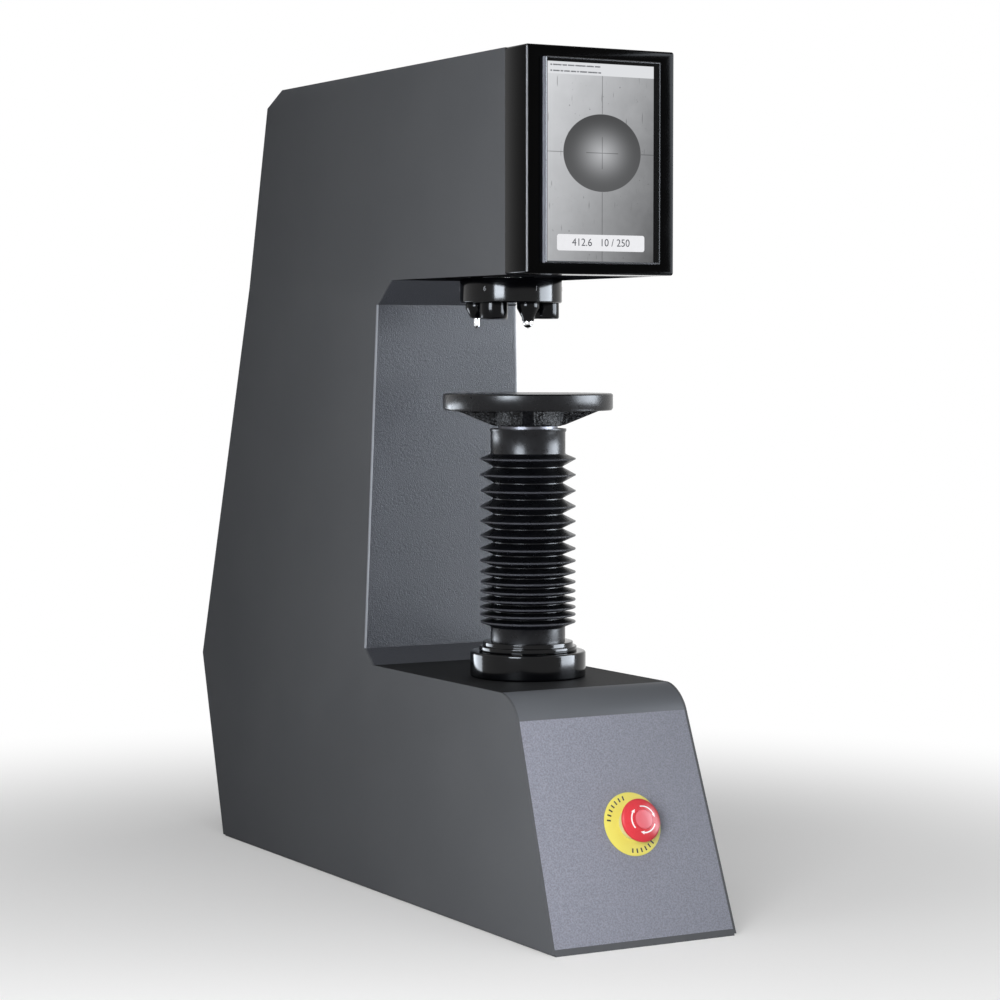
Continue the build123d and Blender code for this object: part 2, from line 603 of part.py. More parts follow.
HUB_TOP = ANVIL_TOP - ANVIL_DISC
HUB_FOOT_RADIUS = 32.4
HUB_TOP_RADIUS = 34.8
RIB_ROOT = 30.0             # the ribs start inside the hub
RIB_RADIUS = 72.0
RIB_THICKNESS = 12.0
RIB_ANGLES = (60, 150, 240, 330)
with BuildPart() as anvil:
    with BuildSketch(Plane.XZ):
        with BuildLine():
            Polyline((STEM_RADIUS, SPINDLE_TOP), (HUB_FOOT_RADIUS, SPINDLE_TOP), (HUB_TOP_RADIUS, HUB_TOP),
                     (ANVIL_RADIUS, HUB_TOP), (ANVIL_RADIUS, ANVIL_TOP), (0, ANVIL_TOP), (0, HUB_TOP),
                     (STEM_RADIUS, HUB_TOP), close=True)
        make_face()
    revolve(axis=Axis.Z)
    for angle in RIB_ANGLES:
        with BuildSketch(radial_plane(angle)):
            Polygon((RIB_ROOT, SPINDLE_TOP + 1), (HUB_TOP_RADIUS - 1, SPINDLE_TOP + 1), (RIB_RADIUS, HUB_TOP),
                    (RIB_ROOT, HUB_TOP), align=None)
        extrude(amount=RIB_THICKNESS / 2, both=True)
    chamfer(anvil.faces().sort_by(Axis.Z)[-1].edges(), length=1)
finish(anvil.part, "anvil")

with BuildPart() as anvil_stem:
    with BuildSketch(Plane.XY.offset(HUB_TOP)):
        Circle(STEM_RADIUS)
    extrude(amount=HEAD_JOINT + 3 - HUB_TOP)
    chamfer(anvil_stem.edges().group_by(Axis.Z)[0], length=1.5)
finish(anvil_stem.part, "anvil_stem")

# =====================================================================================================
# Turret
# =====================================================================================================
BEARING_BORE = 15.0
TURRET_BEARING_RADIUS = 21.0
PIVOT_RADIUS = 6.0
DRUM_TOP = HEAD_FLOOR
CAVITY_ROOF = 640.0
STATION_NAMES = "cdefab"            # station 0 is c, then anticlockwise from above
INDENTERS = (0, 2, 4)
OBJECTIVES = (1, 3, 5)
LENS_SPIGOT = 10.0
TURRET_PLANE = Plane(origin=(0, STATION_RADIUS, 0))

with BuildPart() as turret_drum:
    with BuildSketch(Plane.XY.offset(DRUM_BOTTOM)):
        with Locations((0, STATION_RADIUS)):
            Circle(DRUM_RADIUS)
    extrude(amount=DRUM_TOP - DRUM_BOTTOM)
    chamfer(turret_drum.edges().group_by(Axis.Z)[0], length=1.2)
    for index in INDENTERS:
        with BuildSketch(Plane.XY.offset(DRUM_BOTTOM)):
            with Locations(station(index)):
                Circle(PLUNGER_RADIUS + FIT)
        extrude(amount=DRUM_TOP - DRUM_BOTTOM, mode=Mode.SUBTRACT)
    for index in OBJECTIVES:
        with BuildSketch(Plane.XY.offset(DRUM_BOTTOM)):
            with Locations(station(index)):
                Circle(LENS_SPIGOT)
        extrude(amount=DRUM_TOP - DRUM_BOTTOM, mode=Mode.SUBTRACT)
finish(turret_drum.part, "turret_drum")

MOTOR_SOCKET = 673.0
with BuildPart() as turret_shaft:
    with BuildSketch(TURRET_PLANE.offset(DRUM_TOP)):
        Circle(BEARING_BORE)
    extrude(amount=HOUSING_TOP - DRUM_TOP)
    with BuildSketch(TURRET_PLANE.offset(HOUSING_TOP)):
        Circle(PIVOT_RADIUS)
    extrude(amount=MOTOR_SOCKET - HOUSING_TOP - 1)
finish(turret_shaft.part, "turret_shaft")

OBJECTIVE_RADIUS = 13.5
OBJECTIVE_BOTTOM = 574.7
OBJECTIVE_TAPER = 4.0
LENS_RADIUS = 7.0
with BuildPart() as objective:
    with BuildSketch(Plane.XZ):
        with BuildLine():
            Polyline((0, DRUM_TOP - 4), (LENS_SPIGOT, DRUM_TOP - 4), (LENS_SPIGOT, DRUM_BOTTOM),
                     (OBJECTIVE_RADIUS, DRUM_BOTTOM), (OBJECTIVE_RADIUS, OBJECTIVE_BOTTOM + OBJECTIVE_TAPER),
                     (OBJECTIVE_RADIUS - 1.5, OBJECTIVE_BOTTOM), (LENS_RADIUS, OBJECTIVE_BOTTOM),
                     (LENS_RADIUS, OBJECTIVE_BOTTOM + 2), (0, OBJECTIVE_BOTTOM + 2), close=True)
        make_face()
    revolve(axis=Axis.Z)
for index in OBJECTIVES:
    x, y = station(index)
    with BuildPart() as placed:
        add(objective.part.moved(Location((x, y, 0))))
    finish(placed.part, f"objective_{STATION_NAMES[index]}")

# Indenters: a spring-loaded plunger through the drum, with its head above it and its holder below.
PLUNGER_HEAD_RADIUS = 10.0
PLUNGER_HEAD = 4.0
PLUNGER_HEAD_TOP = RAM_TIP - PLUNGER_STROKE - 1.5
HOLDER_RADIUS = 11.0
HOLDER_RING = 5.0
NOSE_Z = 575.7
NOSE_RADIUS = 6.0
BALL_RADIUS = 5.0
PIN_Z = 567.8               # foot of the diamond's mount


def plunger_profile(tip):
    """(R, Z) round half a plunger; tip is its last stretch, from the nose to the axis."""
    return [(0, PLUNGER_HEAD_TOP), (PLUNGER_HEAD_RADIUS, PLUNGER_HEAD_TOP),
            (PLUNGER_HEAD_RADIUS, PLUNGER_HEAD_TOP - PLUNGER_HEAD),
            (PLUNGER_RADIUS, PLUNGER_HEAD_TOP - PLUNGER_HEAD), (PLUNGER_RADIUS, DRUM_BOTTOM),
            (HOLDER_RADIUS, DRUM_BOTTOM), (HOLDER_RADIUS, DRUM_BOTTOM - HOLDER_RING),
            (NOSE_RADIUS, NOSE_Z), *tip]


DIAMOND_TIP = [(3.0, NOSE_Z), (3.0, PIN_Z), (0.4, TIP_Z), (0, TIP_Z)]
BALL_TOP = TIP_Z + 2 * BALL_RADIUS
BALL_SEAT = [(NOSE_RADIUS, TIP_Z + BALL_RADIUS + 1), (BALL_RADIUS + FIT, TIP_Z + BALL_RADIUS + 1),
             (BALL_RADIUS + FIT, BALL_TOP), (0, BALL_TOP)]
for index in INDENTERS:
    x, y = station(index)
    tip = BALL_SEAT if index == 0 else DIAMOND_TIP
    with BuildPart() as placed:
        with BuildSketch(Plane(origin=(x, y, 0), x_dir=(1, 0, 0), z_dir=(0, -1, 0))):
            with BuildLine():
                Polyline(*plunger_profile(tip), close=True)
            make_face()
        revolve(axis=Axis((x, y, 0), (0, 0, 1)))
    finish(placed.part, f"indenter_{STATION_NAMES[index]}")

with BuildPart() as indenter_ball:
    with Locations((0, 0, TIP_Z + BALL_RADIUS)):
        Sphere(BALL_RADIUS)
finish(indenter_ball.part, "indenter_ball")

CAST_FLOOR = HEAD_FLOOR + CAST_WALL
HOUSING_WALL = 4.5
with BuildPart() as turret_housing:
    with BuildSketch(TURRET_PLANE.offset(CAST_FLOOR)):
        Circle(RECESS_RADIUS + HOUSING_WALL)
    extrude(amount=HOUSING_TOP - CAST_FLOOR)
    with BuildSketch(TURRET_PLANE.offset(CAST_FLOOR)):
        Circle(RECESS_RADIUS)
    extrude(amount=CAVITY_ROOF - CAST_FLOOR, mode=Mode.SUBTRACT)
    with BuildSketch(TURRET_PLANE.offset(CAVITY_ROOF)):
        Circle(TURRET_BEARING_RADIUS)
        with Locations((0, -STATION_RADIUS)):
            Circle(RAM_RADIUS + 1)
    extrude(amount=HOUSING_TOP - CAVITY_ROOF, mode=Mode.SUBTRACT)
finish(turret_housing.part, "turret_housing")

with BuildPart() as turret_bearing:
    with BuildSketch(TURRET_PLANE.offset(CAVITY_ROOF)):
        Circle(TURRET_BEARING_RADIUS)
        Circle(BEARING_BORE + FIT, mode=Mode.SUBTRACT)
    extrude(amount=HOUSING_TOP - CAVITY_ROOF)
finish(turret_bearing.part, "turret_bearing")

TURRET_MOTOR_RADIUS = 22.0
TURRET_MOTOR_LENGTH = 44.0
with BuildPart() as turret_motor:
    with BuildSketch(TURRET_PLANE.offset(HOUSING_TOP)):
        Circle(TURRET_MOTOR_RADIUS)
    extrude(amount=TURRET_MOTOR_LENGTH)
    with BuildSketch(TURRET_PLANE.offset(HOUSING_TOP)):
        Circle(PIVOT_RADIUS + FIT)
    extrude(amount=MOTOR_SOCKET - HOUSING_TOP, mode=Mode.SUBTRACT)
finish(turret_motor.part, "turret_motor")

# =====================================================================================================
# Load train, in the head above the turret: hollow, so that the camera looks down through it
# =====================================================================================================
BRACKET_BACK_Y = BEZEL_BACK_Y + CAST_WALL
LOWER_ARM = (712.0, 728.0)
UPPER_ARM = (772.0, 780.0)
ARM_FRONT_Y = 30.0
CELL_BOTTOM = 735.0
CELL_TOP = 757.0
LIGHT_BORE = 4.0
LOAD_MOTOR_TOP = 800.0
LOAD_MOTOR_RADIUS = 34.0
BRACKET_FOOT_Z = 640.0
BRACKET_HALF_WIDTH = 48.0
LOWER_WEB_Y = BRACKET_BACK_Y + 14
UPPER_WEB_Y = BRACKET_BACK_Y + 20
with BuildPart() as load_bracket:
    with BuildSketch(Plane.YZ):
        Polygon((BRACKET_BACK_Y, BRACKET_FOOT_Z), (LOWER_WEB_Y, BRACKET_FOOT_Z), (LOWER_WEB_Y, LOWER_ARM[0]),
                (ARM_FRONT_Y, LOWER_ARM[0]), (ARM_FRONT_Y, LOWER_ARM[1]), (UPPER_WEB_Y, LOWER_ARM[1]),
                (UPPER_WEB_Y, UPPER_ARM[0]), (ARM_FRONT_Y, UPPER_ARM[0]), (ARM_FRONT_Y, UPPER_ARM[1]),
                (BRACKET_BACK_Y, UPPER_ARM[1]), align=None)
    extrude(amount=BRACKET_HALF_WIDTH, both=True)
    with BuildSketch(Plane.XY.offset(LOWER_ARM[0])):
        Circle(RAM_RADIUS + FIT)
    extrude(amount=UPPER_ARM[1] - LOWER_ARM[0], mode=Mode.SUBTRACT)
finish(load_bracket.part, "load_bracket")

RAM_FLANGE_RADIUS = 22.0
RAM_FLANGE = 5.0
CELL_RADIUS = 30.0
with BuildPart() as load_ram:
    with BuildSketch(Plane.XY.offset(RAM_TIP)):
        Circle(RAM_RADIUS)
    extrude(amount=CELL_BOTTOM - RAM_TIP)
    with BuildSketch(Plane.XY.offset(CELL_BOTTOM)):
        Circle(RAM_FLANGE_RADIUS)
    extrude(amount=RAM_FLANGE)
    with BuildSketch(Plane.XY.offset(RAM_TIP)):
        Circle(LIGHT_BORE)
    extrude(amount=CELL_BOTTOM + RAM_FLANGE - RAM_TIP, mode=Mode.SUBTRACT)
finish(load_ram.part, "load_ram")

with BuildPart() as load_cell:
    with BuildSketch(Plane.XZ):
        with BuildLine():
            Polyline((LIGHT_BORE, CELL_BOTTOM + RAM_FLANGE), (RAM_FLANGE_RADIUS, CELL_BOTTOM + RAM_FLANGE),
                     (CELL_RADIUS, CELL_BOTTOM + RAM_FLANGE + 3), (CELL_RADIUS, CELL_TOP),
                     (LIGHT_BORE, CELL_TOP), close=True)
        make_face()
    revolve(axis=Axis.Z)
finish(load_cell.part, "load_cell")

with BuildPart() as load_screw:
    with BuildSketch(Plane.XY.offset(CELL_TOP)):
        Circle(RAM_RADIUS)
        Circle(LIGHT_BORE, mode=Mode.SUBTRACT)
    extrude(amount=LOAD_MOTOR_TOP - 8 - CELL_TOP)
finish(load_screw.part, "load_screw")

with BuildPart() as load_motor:
    with BuildSketch(Plane.XY.offset(UPPER_ARM[1])):
        Circle(LOAD_MOTOR_RADIUS)
        Circle(RAM_RADIUS + FIT, mode=Mode.SUBTRACT)
    extrude(amount=LOAD_MOTOR_TOP - UPPER_ARM[1])
finish(load_motor.part, "load_motor")

CAMERA_SIZE = 50.0
CAMERA_HEIGHT = 18.0
with BuildPart() as camera_module:
    with BuildSketch(Plane.XY.offset(LOAD_MOTOR_TOP)):
        Rectangle(CAMERA_SIZE, CAMERA_SIZE)
    extrude(amount=CAMERA_HEIGHT)
    with BuildSketch(Plane.XY.offset(LOAD_MOTOR_TOP)):
        Circle(LIGHT_BORE)
    extrude(amount=CAMERA_HEIGHT / 2, mode=Mode.SUBTRACT)
finish(camera_module.part, "camera_module")

# =====================================================================================================
# Electronics, in the column
# =====================================================================================================
RACK_WIDTH = 120.0
RACK_HEIGHT = 420.0
RACK_SHEET = 3.0
RACK_FRONT_Y = 328.5
RACK_BACK_Y = RACK_FRONT_Y + RACK_SHEET
RACK_FOOT_Y = 355.5         # back edge of the foot folded from the plate
with BuildPart() as electronics_plate:
    with BuildSketch(Plane.YZ):
        Polygon((RACK_FRONT_Y, FLOOR), (RACK_FOOT_Y, FLOOR), (RACK_FOOT_Y, FLOOR + RACK_SHEET),
                (RACK_BACK_Y, FLOOR + RACK_SHEET), (RACK_BACK_Y, FLOOR + RACK_HEIGHT),
                (RACK_FRONT_Y, FLOOR + RACK_HEIGHT), align=None)
    extrude(amount=RACK_WIDTH / 2, both=True)
finish(electronics_plate.part, "electronics_plate")

BOARD_Z = 345.0
BOARD_WIDTH = 104.0
BOARD_HEIGHT = 150.0
BOARD = 1.6
STANDOFF = 8.0
STANDOFF_RADIUS = 3.2
STANDOFF_INSET = 10.0
CHIP_HEIGHT = 10.0
RACK_FACE = Plane.XZ.offset(-RACK_FRONT_Y)
with BuildPart() as control_board:
    with BuildSketch(RACK_FACE.offset(STANDOFF)):
        with Locations((0, BOARD_Z)):
            Rectangle(BOARD_WIDTH, BOARD_HEIGHT)
    extrude(amount=BOARD)
    with BuildSketch(RACK_FACE):
        with Locations((0, BOARD_Z)):
            with GridLocations(BOARD_WIDTH - STANDOFF_INSET, BOARD_HEIGHT - STANDOFF_INSET, 2, 2):
                RegularPolygon(STANDOFF_RADIUS, 6)
    extrude(amount=STANDOFF)
    with BuildSketch(RACK_FACE.offset(STANDOFF + BOARD)):
        with Locations((-20, BOARD_Z + 30)):
            Rectangle(36, 36)
        with Locations((32, BOARD_Z - 20)):
            Rectangle(14, 70)
    extrude(amount=CHIP_HEIGHT)
finish(control_board.part, "control_board")

SUPPLY_Z = 160.0
SUPPLY_WIDTH = 98.0
SUPPLY_HEIGHT = 198.0
SUPPLY_DEPTH = 42.0
with BuildPart() as power_supply:
    with BuildSketch(RACK_FACE):
        with Locations((0, SUPPLY_Z)):
            Rectangle(SUPPLY_WIDTH, SUPPLY_HEIGHT)
    extrude(amount=SUPPLY_DEPTH)
finish(power_supply.part, "power_supply")

INLET_BODY = 24.0
INLET_FLANGE = 2.0
INLET_WELL = 15.0           # depth of the socket and of the switch behind the cover
SOCKET_SIZE = (24.0, 16.5)
SOCKET_Y = -15.0
BLADE_PLACES = ((-7.0, -17.0), (7.0, -17.0), (0.0, -12.0))
BLADE_LENGTH = 12.0
ROCKER_SIZE = (14.0, 22.0)
ROCKER_Y = 16.0             # centre of the switch, up the inlet plate
PIVOT_DEPTH = -6.0
PIVOT_PIN = 2.0
PIVOT_PLANE = Plane(INLET_PLANE.origin, x_dir=INLET_PLANE.y_dir, z_dir=INLET_PLANE.x_dir)
with BuildPart() as power_inlet:
    with BuildSketch(INLET_PLANE):
        Rectangle(INLET_WIDTH, INLET_HEIGHT)
    extrude(amount=INLET_FLANGE)
    with BuildSketch(INLET_PLANE):
        Rectangle(INLET_WIDTH - 5, INLET_HEIGHT - 5)
    extrude(amount=-INLET_BODY)
    with BuildSketch(INLET_PLANE.offset(INLET_FLANGE)):
        with Locations((0, SOCKET_Y)):
            Rectangle(*SOCKET_SIZE)
        with Locations((0, ROCKER_Y)):
            Rectangle(*ROCKER_SIZE)
    extrude(amount=-INLET_WELL - INLET_FLANGE, mode=Mode.SUBTRACT)
    with BuildSketch(INLET_PLANE.offset(-INLET_WELL)):
        with Locations(*BLADE_PLACES):
            Rectangle(2, 4)
    extrude(amount=BLADE_LENGTH)
    with BuildSketch(PIVOT_PLANE):
        with Locations((ROCKER_Y, PIVOT_DEPTH)):
            Circle(PIVOT_PIN + FIT)
    extrude(amount=ROCKER_SIZE[0] / 2 + 2, both=True, mode=Mode.SUBTRACT)
finish(power_inlet.part, "power_inlet")

# Rocker: a shallow V that tips about the pin; it rests tipped to its off side.
ROCKER_TILT = 8.0
ROCKER_OUTLINE = [(-9.5, -3.0), (9.5, -3.0), (9.5, 9.0), (0.0, 6.8), (-9.5, 9.0)]
with BuildPart() as power_rocker:
    with BuildSketch(PIVOT_PLANE):
        with Locations(Location((ROCKER_Y, PIVOT_DEPTH, 0), (0, 0, ROCKER_TILT))):
            Polygon(*ROCKER_OUTLINE, align=None)
    extrude(amount=ROCKER_SIZE[0] / 2 - 0.3, both=True)
    with BuildSketch(PIVOT_PLANE):
        with Locations((ROCKER_Y, PIVOT_DEPTH)):
            Circle(PIVOT_PIN)
    extrude(amount=ROCKER_SIZE[0] / 2 + 1.5, both=True)
finish(power_rocker.part, "power_rocker")

# =====================================================================================================
# Emergency stop: legend disc, threaded collar and nut, contact block, sliding stem and mushroom head
# =====================================================================================================
STOP_SECTION = Plane(STOP_PLANE.origin, x_dir=STOP_PLANE.x_dir, z_dir=-STOP_PLANE.y_dir)
STOP_AXIS = Axis(STOP_PLANE.origin, STOP_PLANE.z_dir)
LEGEND = 1.2
LEGEND_RADIUS = 30.0
COLLAR_RADIUS = 15.0
COLLAR_TOP = 8.0
STOP_STEM_RADIUS = 8.0
CONTACT_TOP = -20.0
MUSHROOM_BOTTOM = 12.5
MUSHROOM_TOP = 22.5
MUSHROOM_SIDE = [(17.5, 12.5), (20.0, 15.0), (20.4, 17.0)]      # (R, height) up the rim of the head
MUSHROOM_DOME = (14.0, 20.5)
MUSHROOM_DISC = (9.2, 21.7)
PIN_RADIUS = 5.0
PIN_TOP = 19.0

with BuildPart() as estop_label:
    with BuildSketch(STOP_PLANE):
        Circle(LEGEND_RADIUS)
        Circle(THREAD_RADIUS + 0.2, mode=Mode.SUBTRACT)
    extrude(amount=LEGEND)
finish(estop_label.part, "estop_label")

with BuildPart() as estop_collar:
    with BuildSketch(STOP_SECTION):
        with BuildLine():
            Polyline((STOP_STEM_RADIUS + FIT, CONTACT_TOP), (THREAD_RADIUS, CONTACT_TOP),
                     (THREAD_RADIUS, LEGEND), (COLLAR_RADIUS, LEGEND), (COLLAR_RADIUS, COLLAR_TOP - 2),
                     (COLLAR_RADIUS - 1.5, COLLAR_TOP), (STOP_STEM_RADIUS + FIT, COLLAR_TOP), close=True)
        make_face()
    revolve(axis=STOP_AXIS)
finish(estop_collar.part, "estop_collar")

STOP_NUT = 4.0
with BuildPart() as estop_nut:
    with BuildSketch(STOP_PLANE.offset(-SHEET)):
        RegularPolygon(COLLAR_RADIUS, 6)
        Circle(THREAD_RADIUS, mode=Mode.SUBTRACT)
    extrude(amount=-STOP_NUT)
finish(estop_nut.part, "estop_nut")

STOP_TRAVEL = 4.0
CONTACT_SIZE = (30.0, 34.0, 26.0)
with BuildPart() as estop_contacts:
    with BuildSketch(STOP_PLANE.offset(CONTACT_TOP)):
        Rectangle(CONTACT_SIZE[0], CONTACT_SIZE[1])
    extrude(amount=-CONTACT_SIZE[2])
    with BuildSketch(STOP_PLANE.offset(CONTACT_TOP)):
        Circle(STOP_STEM_RADIUS + 0.5)
    extrude(amount=-STOP_TRAVEL - 2, mode=Mode.SUBTRACT)
finish(estop_contacts.part, "estop_contacts")

with BuildPart() as estop_stem:
    with BuildSketch(STOP_PLANE.offset(CONTACT_TOP)):
        Circle(STOP_STEM_RADIUS)
    extrude(amount=MUSHROOM_BOTTOM - CONTACT_TOP)
    with BuildSketch(STOP_PLANE.offset(MUSHROOM_BOTTOM)):
        Circle(PIN_RADIUS)
    extrude(amount=PIN_TOP - MUSHROOM_BOTTOM)
finish(estop_stem.part, "estop_stem")

with BuildPart() as estop_mushroom:
    with BuildSketch(STOP_SECTION):
        with BuildLine():
            Polyline((PIN_RADIUS + FIT, MUSHROOM_BOTTOM), *MUSHROOM_SIDE)
            ThreePointArc(MUSHROOM_SIDE[-1], MUSHROOM_DOME, MUSHROOM_DISC)
            Polyline(MUSHROOM_DISC, (MUSHROOM_DISC[0] - 0.8, MUSHROOM_TOP), (0, MUSHROOM_TOP),
                     (0, PIN_TOP + 0.2), (PIN_RADIUS + FIT, PIN_TOP + 0.2),
                     (PIN_RADIUS + FIT, MUSHROOM_BOTTOM))
        make_face()
    revolve(axis=STOP_AXIS)
finish(estop_mushroom.part, "estop_mushroom")
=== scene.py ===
import math
import bpy
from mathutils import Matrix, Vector


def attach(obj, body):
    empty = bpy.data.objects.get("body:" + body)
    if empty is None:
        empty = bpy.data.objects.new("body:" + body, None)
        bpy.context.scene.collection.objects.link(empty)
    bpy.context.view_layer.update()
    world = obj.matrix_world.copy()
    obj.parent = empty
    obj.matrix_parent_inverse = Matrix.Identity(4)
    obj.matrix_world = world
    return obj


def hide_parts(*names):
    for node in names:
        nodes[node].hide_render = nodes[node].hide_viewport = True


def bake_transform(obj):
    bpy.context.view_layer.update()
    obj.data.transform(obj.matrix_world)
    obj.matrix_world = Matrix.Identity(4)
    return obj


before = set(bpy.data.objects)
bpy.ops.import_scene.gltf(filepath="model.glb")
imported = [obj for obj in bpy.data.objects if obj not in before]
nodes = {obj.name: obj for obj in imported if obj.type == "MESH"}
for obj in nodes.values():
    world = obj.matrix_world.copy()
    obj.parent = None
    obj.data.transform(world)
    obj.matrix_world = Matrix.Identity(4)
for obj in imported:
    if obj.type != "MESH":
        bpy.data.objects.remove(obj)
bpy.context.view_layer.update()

bpy.ops.object.select_all(action="DESELECT")

# ---- Camera ----------------------------------------------------------------------------------------
# A long lens a little above the height of the anvil, thirty degrees round to the machine's left and
# turned down by three degrees.
bpy.ops.object.camera_add(location=(-1.3614, -2.3634, 0.5409),
                          rotation=(math.radians(87.008), 0, math.radians(-29.371)))
camera = bpy.context.object
camera.data.lens = 100.955
camera.data.sensor_width = 36.0
camera.data.clip_end = 60.0
bpy.context.scene.camera = camera
bpy.context.scene.view_settings.view_transform = "Standard"

# ---- Casting and base plate ------------------------------------------------------------------------
# The machine's boxed C, the turret housing and the brackets are grey iron castings in a matt primer,
# bolted to a steel base plate in the covers' grey; only edges of them show past the covers.


def new_finish(name, colour, roughness, metallic=0.0, specular=0.5):
    """A material whose one shader has plain values; a pattern is then added to it."""
    finish = bpy.data.materials.new(name)
    finish.use_nodes = True
    shader = finish.node_tree.nodes["Principled BSDF"]
    shader.inputs["Base Color"].default_value = (*colour, 1.0)
    shader.inputs["Roughness"].default_value = roughness
    shader.inputs["Metallic"].default_value = metallic
    shader.inputs["Specular IOR Level"].default_value = specular
    return finish


def noise(finish, per_metre, detail=2.0, stretch=(1, 1, 1)):
    """A cloud pattern fixed to the piece: about that many blobs to the metre, less along a stretch."""
    tree = finish.node_tree
    place = tree.nodes.new("ShaderNodeTexCoord")
    scale = tree.nodes.new("ShaderNodeMapping")
    scale.inputs["Scale"].default_value = stretch
    cloud = tree.nodes.new("ShaderNodeTexNoise")
    cloud.inputs["Scale"].default_value = per_metre
    cloud.inputs["Detail"].default_value = detail
    tree.links.new(place.outputs["Object"], scale.inputs["Vector"])
    tree.links.new(scale.outputs["Vector"], cloud.inputs["Vector"])
    return cloud.outputs["Fac"]


def bump(finish, pattern, depth, strength=1.0):
    """Stands the pattern's light parts up by depth metres."""
    tree = finish.node_tree
    relief = tree.nodes.new("ShaderNodeBump")
    relief.inputs["Strength"].default_value = strength
    relief.inputs["Distance"].default_value = depth
    tree.links.new(pattern, relief.inputs["Height"])
    tree.links.new(relief.outputs["Normal"], tree.nodes["Principled BSDF"].inputs["Normal"])


def dress(finish, *names):
    """Paints CAD nodes that keep their own shape."""
    for name in names:
        nodes[name].data.materials.clear()
        nodes[name].data.materials.append(finish)


primer = new_finish("primer", (0.10, 0.10, 0.105), 0.7, specular=0.3)
bump(primer, noise(primer, 300.0, 4.0), 0.0003)
dress(primer, "cast_frame", "bearing_housing", "turret_housing", "load_bracket")

# ---- Spindle drive ---------------------------------------------------------------------------------
# Inside the base: a ground steel lead screw in a bronze nut and bush, a stepping motor with a black
# body on a milled bracket, and a toothed rubber belt between two steel pulleys.


def vary_roughness(finish, pattern, low, high):
    """Polish that comes and goes with the pattern."""
    tree = finish.node_tree
    spread = tree.nodes.new("ShaderNodeMapRange")
    spread.inputs["From Min"].default_value = 0.3
    spread.inputs["From Max"].default_value = 0.7
    spread.inputs["To Min"].default_value = low
    spread.inputs["To Max"].default_value = high
    tree.links.new(pattern, spread.inputs["Value"])
    tree.links.new(spread.outputs["Result"], tree.nodes["Principled BSDF"].inputs["Roughness"])


ground_steel = new_finish("ground_steel", (0.62, 0.62, 0.61), 0.22, 1.0)
vary_roughness(ground_steel, noise(ground_steel, 500.0, 3.0, (1, 1, 14)), 0.16, 0.32)
dress(ground_steel, "lead_screw", "thrust_bearing", "nut_pulley", "motor_pulley")
bronze = new_finish("bronze", (0.50, 0.33, 0.15), 0.32, 1.0)
vary_roughness(bronze, noise(bronze, 400.0, 2.0, (1, 1, 12)), 0.25, 0.42)
dress(bronze, "guide_bush", "spindle_nut")
milled_alloy = new_finish("milled_alloy", (0.58, 0.59, 0.60), 0.34, 1.0)
vary_roughness(milled_alloy, noise(milled_alloy, 350.0, 2.0, (1, 12, 1)), 0.28, 0.42)
dress(milled_alloy, "motor_bracket")
motor_black = new_finish("motor_black", (0.02, 0.02, 0.022), 0.4)
bump(motor_black, noise(motor_black, 800.0), 0.0001)
dress(motor_black, "lift_motor")
belt_rubber = new_finish("belt_rubber", (0.015, 0.015, 0.015), 0.75)
bump(belt_rubber, noise(belt_rubber, 700.0), 0.0001)
dress(belt_rubber, "drive_belt")

# ---- Side covers -----------------------------------------------------------------------------------
# Two sheets of 2.5 mm steel, laser cut to the machine's C outline, edges eased, creased once at the
# head floor so that they splay to the base, in a satin dark grey powder coat; the cut edge beside
# the column front carries a painted highlight in a paler coat.
SHEET = 0.0025
HEAD_HALF = 0.080
BASE_HALF = 0.099
HEAD_FLOOR = 0.614
HEAD_TOP = 0.823
DECK = 0.2265
FOLD_Y = -0.1322            # where the sloped front would meet the deck
FOLD_OFFSET = 0.02485       # from there to where its rounded fold begins
COVER_FOOT = 0.0015
SPLAY = math.atan2(BASE_HALF - HEAD_HALF, HEAD_FLOOR)
FOLD_SEGMENTS = 20
HAIR = 0.0001               # points nearer than this are taken as one
C_OUTLINE = [(-0.21743, COVER_FOOT), (FOLD_Y, DECK), (0.155, DECK), (0.174, 0.242), (0.166, 0.590),
             (0.137, HEAD_FLOOR), (-0.096, HEAD_FLOOR), (-0.096, HEAD_TOP), (0.390, HEAD_TOP),
             (0.428, 0.806), (0.583, 0.200), (0.51353, COVER_FOOT)]


def only(piece):
    """Makes this the one selected piece."""
    bpy.ops.object.select_all(action="DESELECT")
    piece.select_set(True)
    bpy.context.view_layer.objects.active = piece


def pick(piece, kind, test):
    """In edit mode, selects the vertices, edges or faces whose middle and direction pass the test."""
    bpy.ops.mesh.select_mode(type={"vertices": "VERT", "edges": "EDGE", "polygons": "FACE"}[kind])
    bpy.ops.mesh.select_all(action="DESELECT")
    bpy.ops.object.mode_set(mode="OBJECT")
    points = piece.data.vertices
    for element in getattr(piece.data, kind):
        if kind == "vertices":
            element.select = test(element.co, element.normal)
        elif kind == "edges":
            ends = [points[i].co for i in element.vertices]
            element.select = test((ends[0] + ends[1]) / 2, (ends[1] - ends[0]).normalized())
        else:
            element.select = test(element.center, element.normal)
    bpy.ops.object.mode_set(mode="EDIT")


def trace(name, x, path, closed):
    """Draws an outline of (Y, Z) points at that X, one extruded vertex after another, in edit mode."""
    bpy.ops.object.select_all(action="DESELECT")
    bpy.ops.mesh.primitive_plane_add(size=0.01, location=(x, *path[0]))
    piece = bpy.context.object
    piece.name = name
    bpy.ops.object.transform_apply(location=True)
    bpy.ops.object.mode_set(mode="EDIT")
    bpy.ops.mesh.merge(type="CENTER")
    for here, there in zip(path, path[1:]):
        step = (0, there[0] - here[0], there[1] - here[1])
        bpy.ops.mesh.extrude_region_move(TRANSFORM_OT_translate={"value": step})
    bpy.ops.mesh.select_all(action="SELECT")
    if closed:
        bpy.ops.mesh.edge_face_add()
    return piece


